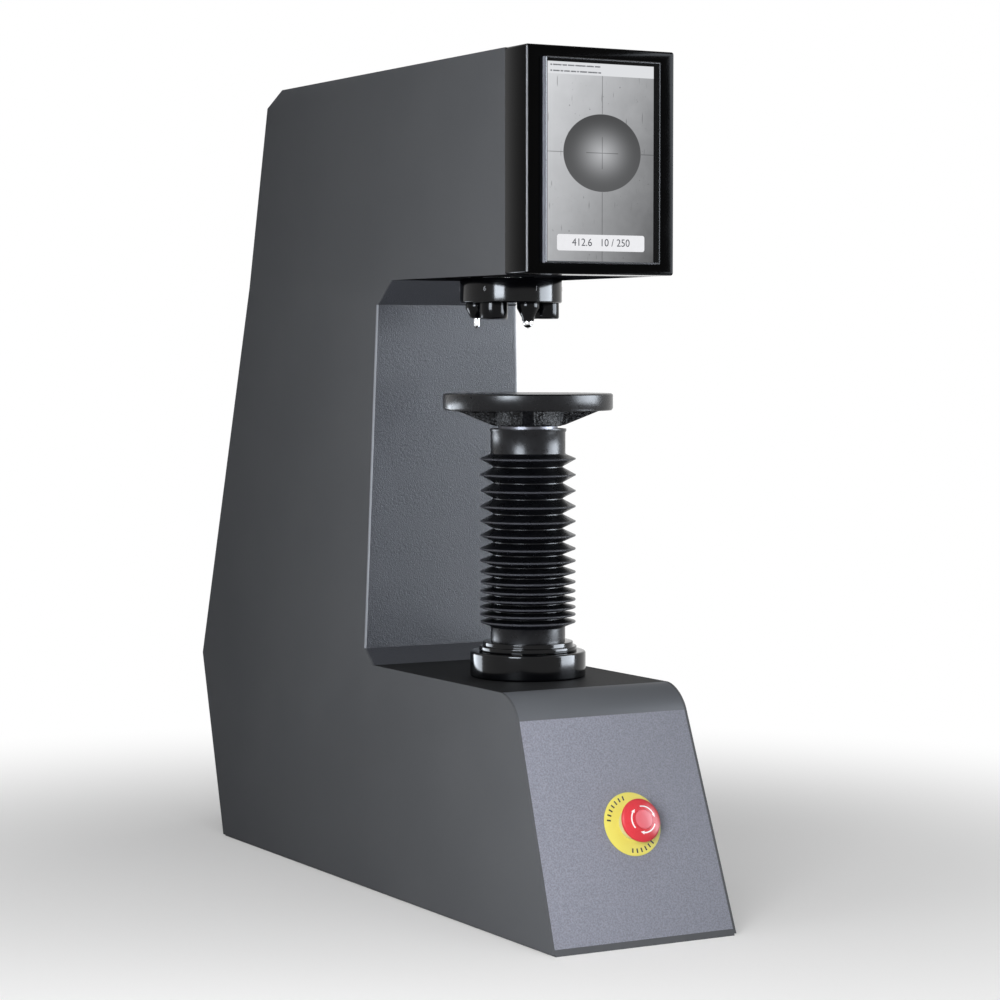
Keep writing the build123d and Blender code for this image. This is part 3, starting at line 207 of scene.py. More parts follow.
def bake(piece, kind, **settings):
    """Adds a modifier, sets it and applies it."""
    only(piece)
    modifier = piece.modifiers.new(kind.lower(), kind)
    for key, value in settings.items():
        setattr(modifier, key, value)
    bpy.ops.object.modifier_apply(modifier=modifier.name)


def ease_edges(piece, width, segments=3, angle=35):
    """Breaks every edge sharper than the angle, then shades the piece smooth between its sharp edges."""
    bake(piece, "BEVEL", width=width, segments=segments, limit_method="ANGLE",
         angle_limit=math.radians(angle), use_clamp_overlap=True)
    only(piece)
    bpy.ops.object.shade_smooth_by_angle(angle=math.radians(angle))


def fit(piece, finish, body, slot, *stands_for):
    """Gives a finished piece its coat, its body and its place in the frame."""
    piece.data.materials.clear()
    piece.data.materials.append(finish)
    if stands_for:
        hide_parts(*stands_for)
    if body:
        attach(piece, body)
    return piece


def vary_colour(finish, pattern, first, second, start=0.35, end=0.65):
    """Colour that drifts from first to second as the pattern goes from start to end."""
    tree = finish.node_tree
    share = tree.nodes.new("ShaderNodeMapRange")
    share.inputs["From Min"].default_value = start
    share.inputs["From Max"].default_value = end
    ramp = tree.nodes.new("ShaderNodeValToRGB")
    ramp.color_ramp.elements[0].color = (*first, 1.0)
    ramp.color_ramp.elements[1].color = (*second, 1.0)
    tree.links.new(pattern, share.inputs["Value"])
    tree.links.new(share.outputs["Result"], ramp.inputs["Fac"])
    tree.links.new(ramp.outputs["Color"], tree.nodes["Principled BSDF"].inputs["Base Color"])


side_coat = new_finish("side_coat", (0.098, 0.102, 0.110), 0.6, specular=0.0)
vary_colour(side_coat, noise(side_coat, 9.0), (0.096, 0.100, 0.108), (0.101, 0.105, 0.113))
bump(side_coat, noise(side_coat, 1500.0), 0.00005, 0.5)
# A paler coat for the front-facing cut edge beside the column: a painted highlight.
painted_edge_highlight = new_finish("painted_edge_highlight", (0.20, 0.21, 0.235), 0.4, specular=0.3)
vary_roughness(painted_edge_highlight, noise(painted_edge_highlight, 300.0), 0.35, 0.5)
left_cover = trace("left_side", -HEAD_HALF, C_OUTLINE, closed=True)
fold_corner = Vector((-HEAD_HALF, FOLD_Y, DECK))
pick(left_cover, "vertices", lambda place, way: (place - fold_corner).length < 10 * HAIR)
bpy.ops.mesh.bevel(offset=FOLD_OFFSET, segments=FOLD_SEGMENTS, affect="VERTICES")
bpy.ops.mesh.select_all(action="SELECT")
bpy.ops.mesh.bisect(plane_co=(0, 0, HEAD_FLOOR), plane_no=(0, 0, 1))
pick(left_cover, "vertices", lambda place, way: place.z < HEAD_FLOOR - HAIR)
bpy.ops.transform.rotate(value=-SPLAY, orient_axis="Y", center_override=(-HEAD_HALF, 0, HEAD_FLOOR))
bpy.ops.object.mode_set(mode="OBJECT")
if left_cover.data.polygons[0].normal.x > 0:
    left_cover.data.flip_normals()
right_cover = left_cover.copy()
right_cover.data = left_cover.data.copy()
right_cover.name = "right_side"
bpy.context.collection.objects.link(right_cover)
only(right_cover)
bpy.ops.object.mode_set(mode="EDIT")
bpy.ops.mesh.select_all(action="SELECT")
bpy.ops.transform.resize(value=(-1, 1, 1), center_override=(0, 0, 0))
bpy.ops.mesh.flip_normals()
bpy.ops.object.mode_set(mode="OBJECT")
for cover, node in ((left_cover, "left_side_cover"), (right_cover, "right_side_cover")):
    bake(cover, "SOLIDIFY", thickness=SHEET, offset=-1.0, use_even_offset=True)
    ease_edges(cover, 0.0008)
    fit(cover, side_coat, "frame", "cover_grey", node)
    cover.data.materials.append(painted_edge_highlight)
    # Faces of the cut edge beside the column that face the front get the painted highlight.
    for face in cover.data.polygons:
        beside_column = 0.15 < face.center.y < 0.19 and 0.24 < face.center.z < 0.6
        face.material_index = int(beside_column and face.normal.y < -0.97)
dress(side_coat, "base_plate", "head_top_cover", "rear_upper_cover", "rear_lower_cover",
      "rear_base_cover")

# ---- Sloped front ----------------------------------------------------------------------------------
# One sheet between the side covers, rolled over into the deck at a 36 mm radius: its flat face has a
# paler blue-grey coat with a fine sand texture, masked off along a line below the satin grey roll.


def across(name, path, outwards):
    """A sheet along a path of (Y, Z) points, across the machine and trimmed to the two side covers."""
    piece = trace(name, -BASE_HALF, path, closed=False)
    bpy.ops.mesh.extrude_region_move(TRANSFORM_OT_translate={"value": (2 * BASE_HALF, 0, 0)})
    for side in (-1, 1):
        bpy.ops.mesh.select_all(action="SELECT")
        bpy.ops.mesh.bisect(plane_co=(side * (HEAD_HALF - SHEET), 0, HEAD_FLOOR), clear_outer=True,
                            plane_no=(side * math.cos(SPLAY), 0, math.sin(SPLAY)))
    bpy.ops.object.mode_set(mode="OBJECT")
    if piece.data.polygons[0].normal.dot(Vector(outwards)) < 0:
        piece.data.flip_normals()
    bpy.ops.object.mode_set(mode="EDIT")
    return piece


MASK_LINE = 0.2033
front_coat = new_finish("front_coat", (0.230, 0.238, 0.284), 0.55, specular=0.03)
vary_colour(front_coat, noise(front_coat, 700.0, 3.0), (0.195, 0.202, 0.240), (0.265, 0.275, 0.330))
bump(front_coat, noise(front_coat, 700.0, 3.0), 0.0006)
roll_coat = new_finish("roll_coat", (0.102, 0.108, 0.120), 0.5, specular=0.05)
vary_colour(roll_coat, noise(roll_coat, 9.0), (0.100, 0.106, 0.118), (0.104, 0.110, 0.122))
front_path = [(-0.21573, 0.006), (FOLD_Y, DECK), (FOLD_Y + FOLD_OFFSET, DECK)]
front = across("sloped_front", front_path, (0, -1, 0))
pick(front, "edges", lambda place, way: abs(place.z - DECK) < HAIR and abs(place.y - FOLD_Y) < HAIR)
# The roll ends just short of the sheet's back edge, with which it would otherwise merge.
bpy.ops.mesh.bevel(offset=FOLD_OFFSET - 0.00001, segments=FOLD_SEGMENTS, affect="EDGES")
bpy.ops.mesh.select_all(action="SELECT")
bpy.ops.mesh.bisect(plane_co=(0, 0, MASK_LINE), plane_no=(0, 0, 1))
bpy.ops.object.mode_set(mode="OBJECT")
bake(front, "SOLIDIFY", thickness=SHEET, offset=-1.0, use_even_offset=True)
ease_edges(front, 0.0003, 2)
fit(front, front_coat, "frame", "cover_blue_grey", "base_front_cover")
front.data.materials.append(roll_coat)
for face in front.data.polygons:
    face.material_index = int(face.center.z > MASK_LINE)

# ---- Deck, column front and head floor -------------------------------------------------------------
# Flat folded sheets: the deck and the head floor in near-black texture coats, the column front in a
# glossier blue-grey one with a fine ripple.
deck_coat = new_finish("deck_coat", (0.006, 0.006, 0.0063), 0.6, specular=0.06)
bump(deck_coat, noise(deck_coat, 1200.0), 0.0001)
dress(deck_coat, "base_top_cover")
head_floor_coat = new_finish("head_floor_coat", (0.009, 0.0095, 0.011), 0.9, specular=0.0)
bump(head_floor_coat, noise(head_floor_coat, 1200.0), 0.0001)
dress(head_floor_coat, "head_floor_cover")
column_coat = new_finish("column_coat", (0.042, 0.045, 0.054), 0.30, specular=0.2)
ripple = noise(column_coat, 900.0, 2.0)
bump(column_coat, ripple, 0.0003)
vary_roughness(column_coat, ripple, 0.27, 0.33)
dress(column_coat, "column_front_cover")

# ---- Display bezel ---------------------------------------------------------------------------------
# A moulded cap in piano-black plastic with 4 mm walls and rounded edges, which closes the front of
# the head; the display comes through its opening, and its left upright edge carries a painted
# highlight.
BEZEL_FRONT = -0.136
BEZEL_BACK = -0.096
SCREEN_X = -0.001
SCREEN_Z = 0.718
MODULE_WIDTH = 0.124
MODULE_HEIGHT = 0.188
BEZEL_ROUND = 0.0024
BEZEL_WALL = 0.004
RIM_INSET = 0.004
head_middle = Vector((0, (BEZEL_FRONT + BEZEL_BACK) / 2, (HEAD_FLOOR + HEAD_TOP) / 2))
bpy.ops.object.select_all(action="DESELECT")
bpy.ops.mesh.primitive_cube_add(size=1, location=head_middle,
                                scale=(2 * HEAD_HALF, BEZEL_BACK - BEZEL_FRONT, HEAD_TOP - HEAD_FLOOR))
bezel = bpy.context.object
bezel.name = "piano_black_bezel"
bpy.ops.object.transform_apply(location=True, scale=True)
bpy.ops.object.mode_set(mode="EDIT")
pick(bezel, "polygons", lambda place, way: way.y > 0.9)
bpy.ops.mesh.delete(type="FACE")
pick(bezel, "edges", lambda place, way: abs(way.y) > 0.9 or place.y < BEZEL_FRONT + HAIR)
bpy.ops.mesh.bevel(offset=BEZEL_ROUND, segments=6, affect="EDGES")
pick(bezel, "polygons", lambda place, way: way.y < -0.999)
bpy.ops.mesh.inset(thickness=RIM_INSET)
flat_width = 2 * (HEAD_HALF - BEZEL_ROUND - RIM_INSET)
flat_height = HEAD_TOP - HEAD_FLOOR - 2 * (BEZEL_ROUND + RIM_INSET)
bpy.ops.transform.resize(value=(MODULE_WIDTH / flat_width, 1, MODULE_HEIGHT / flat_height),
                         center_override=head_middle)
bpy.ops.transform.translate(value=(SCREEN_X, 0, SCREEN_Z - head_middle.z))
bpy.ops.mesh.delete(type="FACE")
bpy.ops.object.mode_set(mode="OBJECT")
bake(bezel, "SOLIDIFY", thickness=BEZEL_WALL, offset=-1.0, use_even_offset=True)
ease_edges(bezel, 0.0003, 2)


def along(finish, direction):
    """How far a point of the piece lies along a direction, in metres."""
    tree = finish.node_tree
    place = tree.nodes.new("ShaderNodeTexCoord")
    product = tree.nodes.new("ShaderNodeVectorMath")
    product.operation = "DOT_PRODUCT"
    product.inputs[1].default_value = direction
    tree.links.new(place.outputs["Object"], product.inputs[0])
    return product.outputs["Value"]


piano_black_edge_highlight = new_finish("piano_black_edge_highlight", (0.0004, 0.0004, 0.0005), 0.10, specular=0.03)
corner_reach = HEAD_HALF - BEZEL_FRONT
# A painted highlight: a thin paler band down the bezel's front-left upright edge only.
vary_colour(piano_black_edge_highlight, along(piano_black_edge_highlight, (-1, -1, 0)), (0.0004, 0.0004, 0.0005), (0.22, 0.23, 0.25),
            start=corner_reach - 0.0018, end=corner_reach - 0.0015)
vary_roughness(piano_black_edge_highlight, noise(piano_black_edge_highlight, 30.0), 0.08, 0.13)
fit(bezel, piano_black_edge_highlight, "frame", "gloss_black", "display_bezel")

# ---- Display ---------------------------------------------------------------------------------------
# An industrial panel in a thin aluminium frame with a black face: behind its glass an indent with
# cross hairs, a pale title strip along the top and a rounded read-out with a plain number below.
frame_alloy = new_finish("frame_alloy", (0.60, 0.62, 0.70), 0.30, 0.5)
vary_roughness(frame_alloy, noise(frame_alloy, 300.0, 2.0, (1, 1, 0.1)), 0.27, 0.33)
BARE_TO = 0.1400            # the frame's sides are bare this far forward, and black from there on
BLACK_FROM = 0.1403
vary_colour(frame_alloy, along(frame_alloy, (0, -1, 0)), (0.50, 0.52, 0.60), (0.004, 0.004, 0.005),
            start=BARE_TO, end=BLACK_FROM)
dress(frame_alloy, "display_module")
INDENT_X = -0.0028
INDENT_Z = 0.7255
INDENT_HALF_WIDTH = 0.0421
INDENT_HALF_HEIGHT = 0.0359
TITLE_Z = 0.7962
PICTURE_X = -0.0045
PICTURE_Z = 0.7166
PICTURE_HALF_WIDTH = 0.0575
PICTURE_HALF_HEIGHT = 0.0908
picture = new_finish("screen_picture", (0.0, 0.0, 0.0), 0.12, specular=0.06)
tree = picture.node_tree
place = tree.nodes.new("ShaderNodeTexCoord")
split = tree.nodes.new("ShaderNodeSeparateXYZ")
tree.links.new(place.outputs["Object"], split.inputs["Vector"])


def maths(operation, first, second=0.0, third=0.0):
    """One Math node of the picture, on sockets or plain numbers."""
    node = tree.nodes.new("ShaderNodeMath")
    node.operation = operation
    for slot, value in enumerate((first, second, third)):
        if isinstance(value, (int, float)):
            node.inputs[slot].default_value = value
        else:
            tree.links.new(value, node.inputs[slot])
    return node.outputs["Value"]


def mix_grey(share, first, second):
    """first where share is 0, second where it is 1."""
    return maths("ADD", maths("MULTIPLY", first, maths("SUBTRACT", 1.0, share)),
                 maths("MULTIPLY", second, share))


def ramp_between(value, low, high):
    """0 below low and 1 above high."""
    node = tree.nodes.new("ShaderNodeMapRange")
    node.interpolation_type = "SMOOTHSTEP"
    node.inputs["From Min"].default_value = low
    node.inputs["From Max"].default_value = high
    tree.links.new(value, node.inputs["Value"])
    return node.outputs["Result"]


# reach is 0 in the middle of the indent and 1 on its edge.
east = maths("SUBTRACT", split.outputs["X"], INDENT_X)
north = maths("SUBTRACT", split.outputs["Z"], INDENT_Z)
reach = maths("SQRT", maths("ADD", maths("POWER", maths("DIVIDE", east, INDENT_HALF_WIDTH), 2.0),
                            maths("POWER", maths("DIVIDE", north, INDENT_HALF_HEIGHT), 2.0)))
# The ground steel round it is paler to the upper left, with scratches and specks.
steel = maths("ADD", 0.40, maths("MULTIPLY_ADD", east, -2.85, maths("MULTIPLY", north, 1.35)))
steel = maths("ADD", steel, maths("MULTIPLY", maths("SUBTRACT", noise(picture, 60.0, 4.0), 0.5), 0.10))
scratch = ramp_between(noise(picture, 500.0, 1.0, (1, 1, 0.12)), 0.68, 0.78)
speck = ramp_between(noise(picture, 330.0, 2.0), 0.70, 0.77)
steel = mix_grey(maths("MULTIPLY", maths("MAXIMUM", scratch, speck), 0.55), steel, 0.10)
# The indent glows in its middle.
glow = maths("POWER", maths("SUBTRACT", 1.0, ramp_between(reach, -0.15, 1.05)), 1.6)
indent = maths("ADD", maths("MULTIPLY_ADD", north, -0.5, 0.085), maths("MULTIPLY", glow, 0.42))
grey = mix_grey(ramp_between(reach, 0.985, 1.0), indent, steel)
# Cross hairs show outside the indent and on its middle.
thin_east = maths("SUBTRACT", 1.0, ramp_between(maths("ABSOLUTE", east), 0.00022, 0.0005))
thin_north = maths("SUBTRACT", 1.0, ramp_between(maths("ABSOLUTE", north), 0.00022, 0.0005))
hairs = maths("MAXIMUM", thin_east, thin_north)
shown = maths("MAXIMUM", ramp_between(reach, 0.999, 1.001),
              maths("SUBTRACT", 1.0, ramp_between(reach, 0.40, 0.42)))
grey = mix_grey(maths("MULTIPLY", maths("MULTIPLY", hairs, shown), 0.6), grey, 0.06)
# The title strip, and a black border round the picture.
grey = mix_grey(ramp_between(split.outputs["Z"], TITLE_Z, TITLE_Z + 0.0003), grey, 0.74)
across_x = maths("ABSOLUTE", maths("SUBTRACT", split.outputs["X"], PICTURE_X))
up_z = maths("ABSOLUTE", maths("SUBTRACT", split.outputs["Z"], PICTURE_Z))
border = maths("MAXIMUM", ramp_between(across_x, PICTURE_HALF_WIDTH, PICTURE_HALF_WIDTH + 0.0002),
               ramp_between(up_z, PICTURE_HALF_HEIGHT, PICTURE_HALF_HEIGHT + 0.0002))
grey = mix_grey(border, grey, 0.002)
tint = tree.nodes.new("ShaderNodeCombineColor")
tree.links.new(maths("MULTIPLY", grey, 0.985), tint.inputs["Red"])
tree.links.new(grey, tint.inputs["Green"])
tree.links.new(maths("MULTIPLY", grey, 1.03), tint.inputs["Blue"])
lit_screen = tree.nodes["Principled BSDF"]
tree.links.new(tint.outputs["Color"], lit_screen.inputs["Emission Color"])
lit_screen.inputs["Emission Strength"].default_value = 1.0
dress(picture, "display_glass")

# ---- Read-out and title marks ----------------------------------------------------------------------
# Thin raised print on the glass: a white plate with rounded corners and a measured value in dark
# figures, and two rows of small grey dashes in the title strip.
GLASS_Y = -0.142
READOUT_X = -0.0040
READOUT_Z = 0.6428
READOUT_WIDTH = 0.0945
READOUT_HEIGHT = 0.0150
TITLE_LEFT = -0.0585
DASH_HEIGHT = 0.0013
DASH_GAP = 0.9              # this gap and the widths below are in millimetres
TITLE_ROWS = ((0.8044, (2, 9, 5, 7, 11, 8, 6)),
              (0.7990, (2, 7, 3, 6, 6, 2, 8, 10, 3)))
white_print = new_finish("white_print", (0.0, 0.0, 0.0), 0.3, specular=0.1)
vary_roughness(white_print, noise(white_print, 300.0), 0.25, 0.35)
lit_plate = white_print.node_tree.nodes["Principled BSDF"]
lit_plate.inputs["Emission Color"].default_value = (0.80, 0.80, 0.82, 1.0)
lit_plate.inputs["Emission Strength"].default_value = 1.0
dark_print = new_finish("dark_print", (0.02, 0.02, 0.025), 0.5, specular=0.1)
vary_roughness(dark_print, noise(dark_print, 300.0), 0.4, 0.6)
bpy.ops.object.select_all(action="DESELECT")
bpy.ops.mesh.primitive_cube_add(size=1, location=(READOUT_X, GLASS_Y - 0.00005, READOUT_Z),
                                scale=(READOUT_WIDTH, 0.0001, READOUT_HEIGHT))
plate = bpy.context.object
plate.name = "readout_plate"
bpy.ops.object.transform_apply(location=True, scale=True)
bpy.ops.object.mode_set(mode="EDIT")
pick(plate, "edges", lambda place, way: abs(way.y) > 0.9)
bpy.ops.mesh.bevel(offset=0.0022, segments=6, affect="EDGES")
bpy.ops.object.mode_set(mode="OBJECT")
fit(plate, white_print, "frame", "screen")


def lettered(name, text, size, thickness):
    """Figures as a flat mesh round the origin, facing the front."""
    bpy.ops.object.select_all(action="DESELECT")
    bpy.ops.object.text_add(rotation=(math.pi / 2, 0, 0))
    piece = bpy.context.object
    piece.name = name
    piece.data.body = text
    piece.data.size = size
    piece.data.extrude = thickness / 2
    piece.data.align_x = "CENTER"
    piece.data.align_y = "CENTER"
    bpy.ops.object.convert(target="MESH")
    bpy.ops.object.transform_apply(location=True, rotation=True)
    return bpy.context.object


def move_mesh(piece, step):
    """Shifts a piece's mesh, with its object left at the origin."""
    only(piece)
    bpy.ops.object.mode_set(mode="EDIT")
    bpy.ops.mesh.select_all(action="SELECT")
    bpy.ops.transform.translate(value=step)
    bpy.ops.object.mode_set(mode="OBJECT")


number = lettered("readout_number", "412.6   10 / 250", 0.0098, 0.00008)
move_mesh(number, (READOUT_X, GLASS_Y - 0.00014, READOUT_Z))
fit(number, dark_print, "frame", "screen")
dashes = []
for height, widths in TITLE_ROWS:
    left = TITLE_LEFT
    for width in widths:
        bpy.ops.object.select_all(action="DESELECT")
        middle = (left + width / 2000, GLASS_Y - 0.00004, height)
        bpy.ops.mesh.primitive_plane_add(size=1, location=middle, rotation=(math.pi / 2, 0, 0))
        dash = bpy.context.object
        dash.scale = (width / 1000, DASH_HEIGHT, 1)
        bpy.ops.object.transform_apply(location=True, rotation=True, scale=True)
        dashes.append(dash)
        left += (width + DASH_GAP) / 1000


def joined(pieces, name):
    """Several pieces as one mesh."""
    bpy.ops.object.select_all(action="DESELECT")
    for piece in pieces:
        piece.select_set(True)
    bpy.context.view_layer.objects.active = pieces[0]
    bpy.ops.object.join()
    pieces[0].name = name
    return pieces[0]


title_marks = joined(dashes, "title_marks")
bake(title_marks, "SOLIDIFY", thickness=0.00006, offset=-1.0)
soft_print = new_finish("soft_print", (0.16, 0.16, 0.17), 0.5, specular=0.1)
vary_roughness(soft_print, noise(soft_print, 300.0), 0.4, 0.6)
fit(title_marks, soft_print, "frame", "screen")

# ---- Deck collar and clamp ring --------------------------------------------------------------------
# Turned steel, blacked and polished: a heavy collar stands on the deck round the guide bush, and a
# stepped ring on it clamps the foot of the bellows.


def turn(name, outline, centre=(0.0, 0.0), segments=96, tube=False):
    """A ring extruded and resized down an outline of (radius, height), as on a lathe.

    A tube's outline goes down its outside and back up its bore; any other piece is capped.
    """
    bpy.ops.object.select_all(action="DESELECT")
    bpy.ops.mesh.primitive_circle_add(vertices=segments, radius=outline[0][0],
                                      location=(*centre, outline[0][1]))
    piece = bpy.context.object
    piece.name = name
    bpy.ops.object.transform_apply(location=True)
    bpy.ops.object.mode_set(mode="EDIT")
    bpy.ops.mesh.select_all(action="SELECT")
    stations = outline + outline[:1] if tube else outline
    for (radius, height), (next_radius, next_height) in zip(stations, stations[1:]):
        step = (0, 0, next_height - height)
        bpy.ops.mesh.extrude_region_move(TRANSFORM_OT_translate={"value": step})
        bpy.ops.transform.resize(value=(next_radius / radius, next_radius / radius, 1),
                                 center_override=(*centre, next_height))
    bpy.ops.mesh.select_all(action="SELECT")
    bpy.ops.mesh.remove_doubles(threshold=0.00001)
    if not tube:
        bpy.ops.mesh.fill_holes(sides=0)
    bpy.ops.mesh.select_all(action="SELECT")
    bpy.ops.mesh.normals_make_consistent(inside=False)
    bpy.ops.object.mode_set(mode="OBJECT")
    return piece


polished_black = new_finish("polished_black", (0.0010, 0.0011, 0.0016), 0.12, specular=0.2)
vary_roughness(polished_black, noise(polished_black, 260.0, 2.0, (1, 1, 20)), 0.09, 0.16)
COLLAR_TOP = 0.2516
CLAMP_TOP = 0.2609          # the top of its seat for the sleeve's foot
collar = turn("deck_collar", [(0.0564, DECK), (0.0564, COLLAR_TOP), (0.0455, COLLAR_TOP),
                              (0.0455, DECK)], segments=128, tube=True)
ease_edges(collar, 0.0022, 6)
fit(collar, polished_black, "frame", "gloss_black", "spindle_collar")
clamp = turn("clamp_ring", [(0.0476, COLLAR_TOP), (0.0476, 0.2566), (0.0440, 0.2566),
                            (0.0440, CLAMP_TOP), (0.0336, CLAMP_TOP), (0.0336, 0.2742),
                            (0.0300, 0.2742), (0.0300, COLLAR_TOP)], tube=True)
ease_edges(clamp, 0.0008, 4)
fit(clamp, polished_black, "frame", "gloss_black", "bellows_clamp")

# ---- Bellows ---------------------------------------------------------------------------------------
# A dipped black rubber sleeve 1.6 mm thick with fifteen sharp folds between two smooth cuffs, wider
# apart towards the top, with a painted highlight along their crests.
CREST = 0.04665
ROOT = 0.0335
CUFF = 0.0364
RUBBER = 0.0016
CUFF_TOP = 0.4680
CUFF_FOOT = 0.4435
LOWER_CUFF = 0.2752
FOLDS = 15
TOP_CREST = 0.4387
MEAN_PITCH = 0.01134
PITCH_SWING = 0.0043
crests = [TOP_CREST]
for gap in range(FOLDS - 1):
    crests.append(crests[-1] - MEAN_PITCH - PITCH_SWING * math.cos(math.pi * gap / (FOLDS - 2)))
sleeve = [(CUFF + 0.0009, CUFF_TOP), (CUFF + 0.0009, CUFF_TOP - 0.0022), (CUFF, CUFF_TOP - 0.0034),
          (CUFF, CUFF_FOOT + 0.001)]
for fold, crest in enumerate(crests):
    above, upper_root = (CUFF_FOOT, CUFF) if fold == 0 else ((crests[fold - 1] + crest) / 2, ROOT)
    below, lower_root = ((LOWER_CUFF, CUFF) if fold == FOLDS - 1
                         else ((crest + crests[fold + 1]) / 2, ROOT))
    sleeve += [(upper_root + 0.0005, above + (crest - above) * 0.05), (CREST - 0.0014, crest + 0.0011),
               (CREST - 0.0004, crest + 0.0008), (CREST, crest), (CREST - 0.0004, crest - 0.0008),
               (CREST - 0.0014, crest - 0.0011), (lower_root + 0.0005, below + (crest - below) * 0.05)]
sleeve += [(CUFF, LOWER_CUFF - 0.0008), (CUFF, CLAMP_TOP)]
bore_crest = CREST - 2.2 * RUBBER
sleeve += [(CUFF - RUBBER, CLAMP_TOP), (CUFF - RUBBER, LOWER_CUFF)]
for upper, lower in reversed(list(zip(crests, crests[1:]))):
    sleeve += [(bore_crest, lower), (ROOT - RUBBER, (upper + lower) / 2)]
sleeve += [(bore_crest, crests[0]), (CUFF - RUBBER, CUFF_FOOT), (CUFF - RUBBER, CUFF_TOP)]
bellows = turn("bellows_sleeve", sleeve, segments=112, tube=True)
only(bellows)
bpy.ops.object.shade_smooth_by_angle(angle=math.radians(50))


def from_axis(finish, foot=(0, 0, 0), tilt=0.0):
    """How far a point is from an axis that stands on a foot and leans back by an angle, in metres."""
    tree = finish.node_tree
    place = tree.nodes.new("ShaderNodeTexCoord")
    upright = tree.nodes.new("ShaderNodeMapping")
    upright.vector_type = "TEXTURE"
    upright.inputs["Location"].default_value = foot
    upright.inputs["Rotation"].default_value = (tilt, 0, 0)
    level = tree.nodes.new("ShaderNodeVectorMath")
    level.operation = "MULTIPLY"
    level.inputs[1].default_value = (1, 1, 0)
    length = tree.nodes.new("ShaderNodeVectorMath")
    length.operation = "LENGTH"
    tree.links.new(place.outputs["Object"], upright.inputs["Vector"])
    tree.links.new(upright.outputs["Vector"], level.inputs[0])
    tree.links.new(level.outputs["Vector"], length.inputs[0])
    return length.outputs["Value"]


bellows_rubber = new_finish("bellows_rubber", (0.0030, 0.0032, 0.0045), 0.26, specular=0.2)
# The crests are coloured paler: a painted highlight along each crest.
vary_colour(bellows_rubber, from_axis(bellows_rubber), (0.0030, 0.0032, 0.0045), (0.050, 0.053, 0.064),
            start=CREST - 0.0016, end=CREST - 0.0002)
vary_roughness(bellows_rubber, noise(bellows_rubber, 140.0, 3.0), 0.24, 0.36)
fit(bellows, bellows_rubber, None, "bellows_rubber", "bellows")
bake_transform(bellows)

# ---- Spindle head ----------------------------------------------------------------------------------
# The dull steel head of the test spindle: the top cuff is stretched over it, and the anvil rests on
# its flat face and is centred by a ground stem in its bore.
dress(ground_steel, "anvil_stem")
dull_steel = new_finish("dull_steel", (0.10, 0.10, 0.11), 0.4, 1.0)
vary_roughness(dull_steel, noise(dull_steel, 400.0, 2.0, (1, 1, 12)), 0.34, 0.48)
dress(dull_steel, "spindle_head")

# ---- Anvil -----------------------------------------------------------------------------------------
# A cast iron test table, enamelled black: a disc with a machined rim on a tapered hub, braced by four
# ribs; the casting's rough skin is left below the disc.
ANVIL_TOP = 0.5022
ANVIL_FOOT = 0.4859
HUB_FOOT = 0.4704
ANVIL_RADIUS = 0.0825
RIB_REACH = 0.044
RIB_WIDTH = 0.012
RIB_TAPER = 0.037           # how much less it reaches at its foot
table = turn("anvil_table", [(0.0812, ANVIL_TOP), (ANVIL_RADIUS, ANVIL_TOP - 0.0013),
                             (ANVIL_RADIUS, ANVIL_FOOT + 0.0020), (0.0812, ANVIL_FOOT)], segments=160)
ease_edges(table, 0.0004, 3)
hub = turn("anvil_hub", [(0.0348, ANVIL_FOOT + 0.0010), (0.0324, HUB_FOOT)], segments=64)
web_pieces = [hub]
for angle in (60, 150, 240, 330):
    bpy.ops.object.select_all(action="DESELECT")
    bpy.ops.mesh.primitive_cube_add(size=1, location=(0.050, 0, (ANVIL_FOOT + HUB_FOOT) / 2 + 0.0007),
                                    scale=(RIB_REACH, RIB_WIDTH, ANVIL_FOOT - HUB_FOOT - 0.0003))
    web = bpy.context.object
    web.name = f"anvil_web_{angle}"
    bpy.ops.object.transform_apply(location=True, scale=True)
    bpy.ops.object.mode_set(mode="EDIT")
    pick(web, "vertices", lambda place, way: place.x > 0.06 and place.z < 0.48)
    bpy.ops.transform.translate(value=(-RIB_TAPER, 0, 0))
    bpy.ops.mesh.select_all(action="SELECT")
    bpy.ops.transform.rotate(value=math.radians(-angle), orient_axis="Z", center_override=(0, 0, 0))
    bpy.ops.object.mode_set(mode="OBJECT")
    web_pieces.append(web)
joined(web_pieces, "anvil_hub")
bake(hub, "REMESH", mode="VOXEL", voxel_size=0.0010)
bake(hub, "SMOOTH", factor=0.5, iterations=5)
only(hub)
bpy.ops.object.shade_smooth_by_angle(angle=math.radians(60))
anvil_enamel = new_finish("anvil_enamel", (0.0030, 0.0031, 0.0040), 0.26, specular=0.2)
vary_roughness(anvil_enamel, noise(anvil_enamel, 90.0, 3.0), 0.24, 0.30)
cast_enamel = new_finish("cast_enamel", (0.0020, 0.0021, 0.0028), 0.18, specular=0.2)
bump(cast_enamel, noise(cast_enamel, 300.0, 4.0), 0.0030)
fit(table, anvil_enamel, "anvil", "gloss_black", "anvil")
fit(hub, cast_enamel, "anvil", "casting", "anvil")

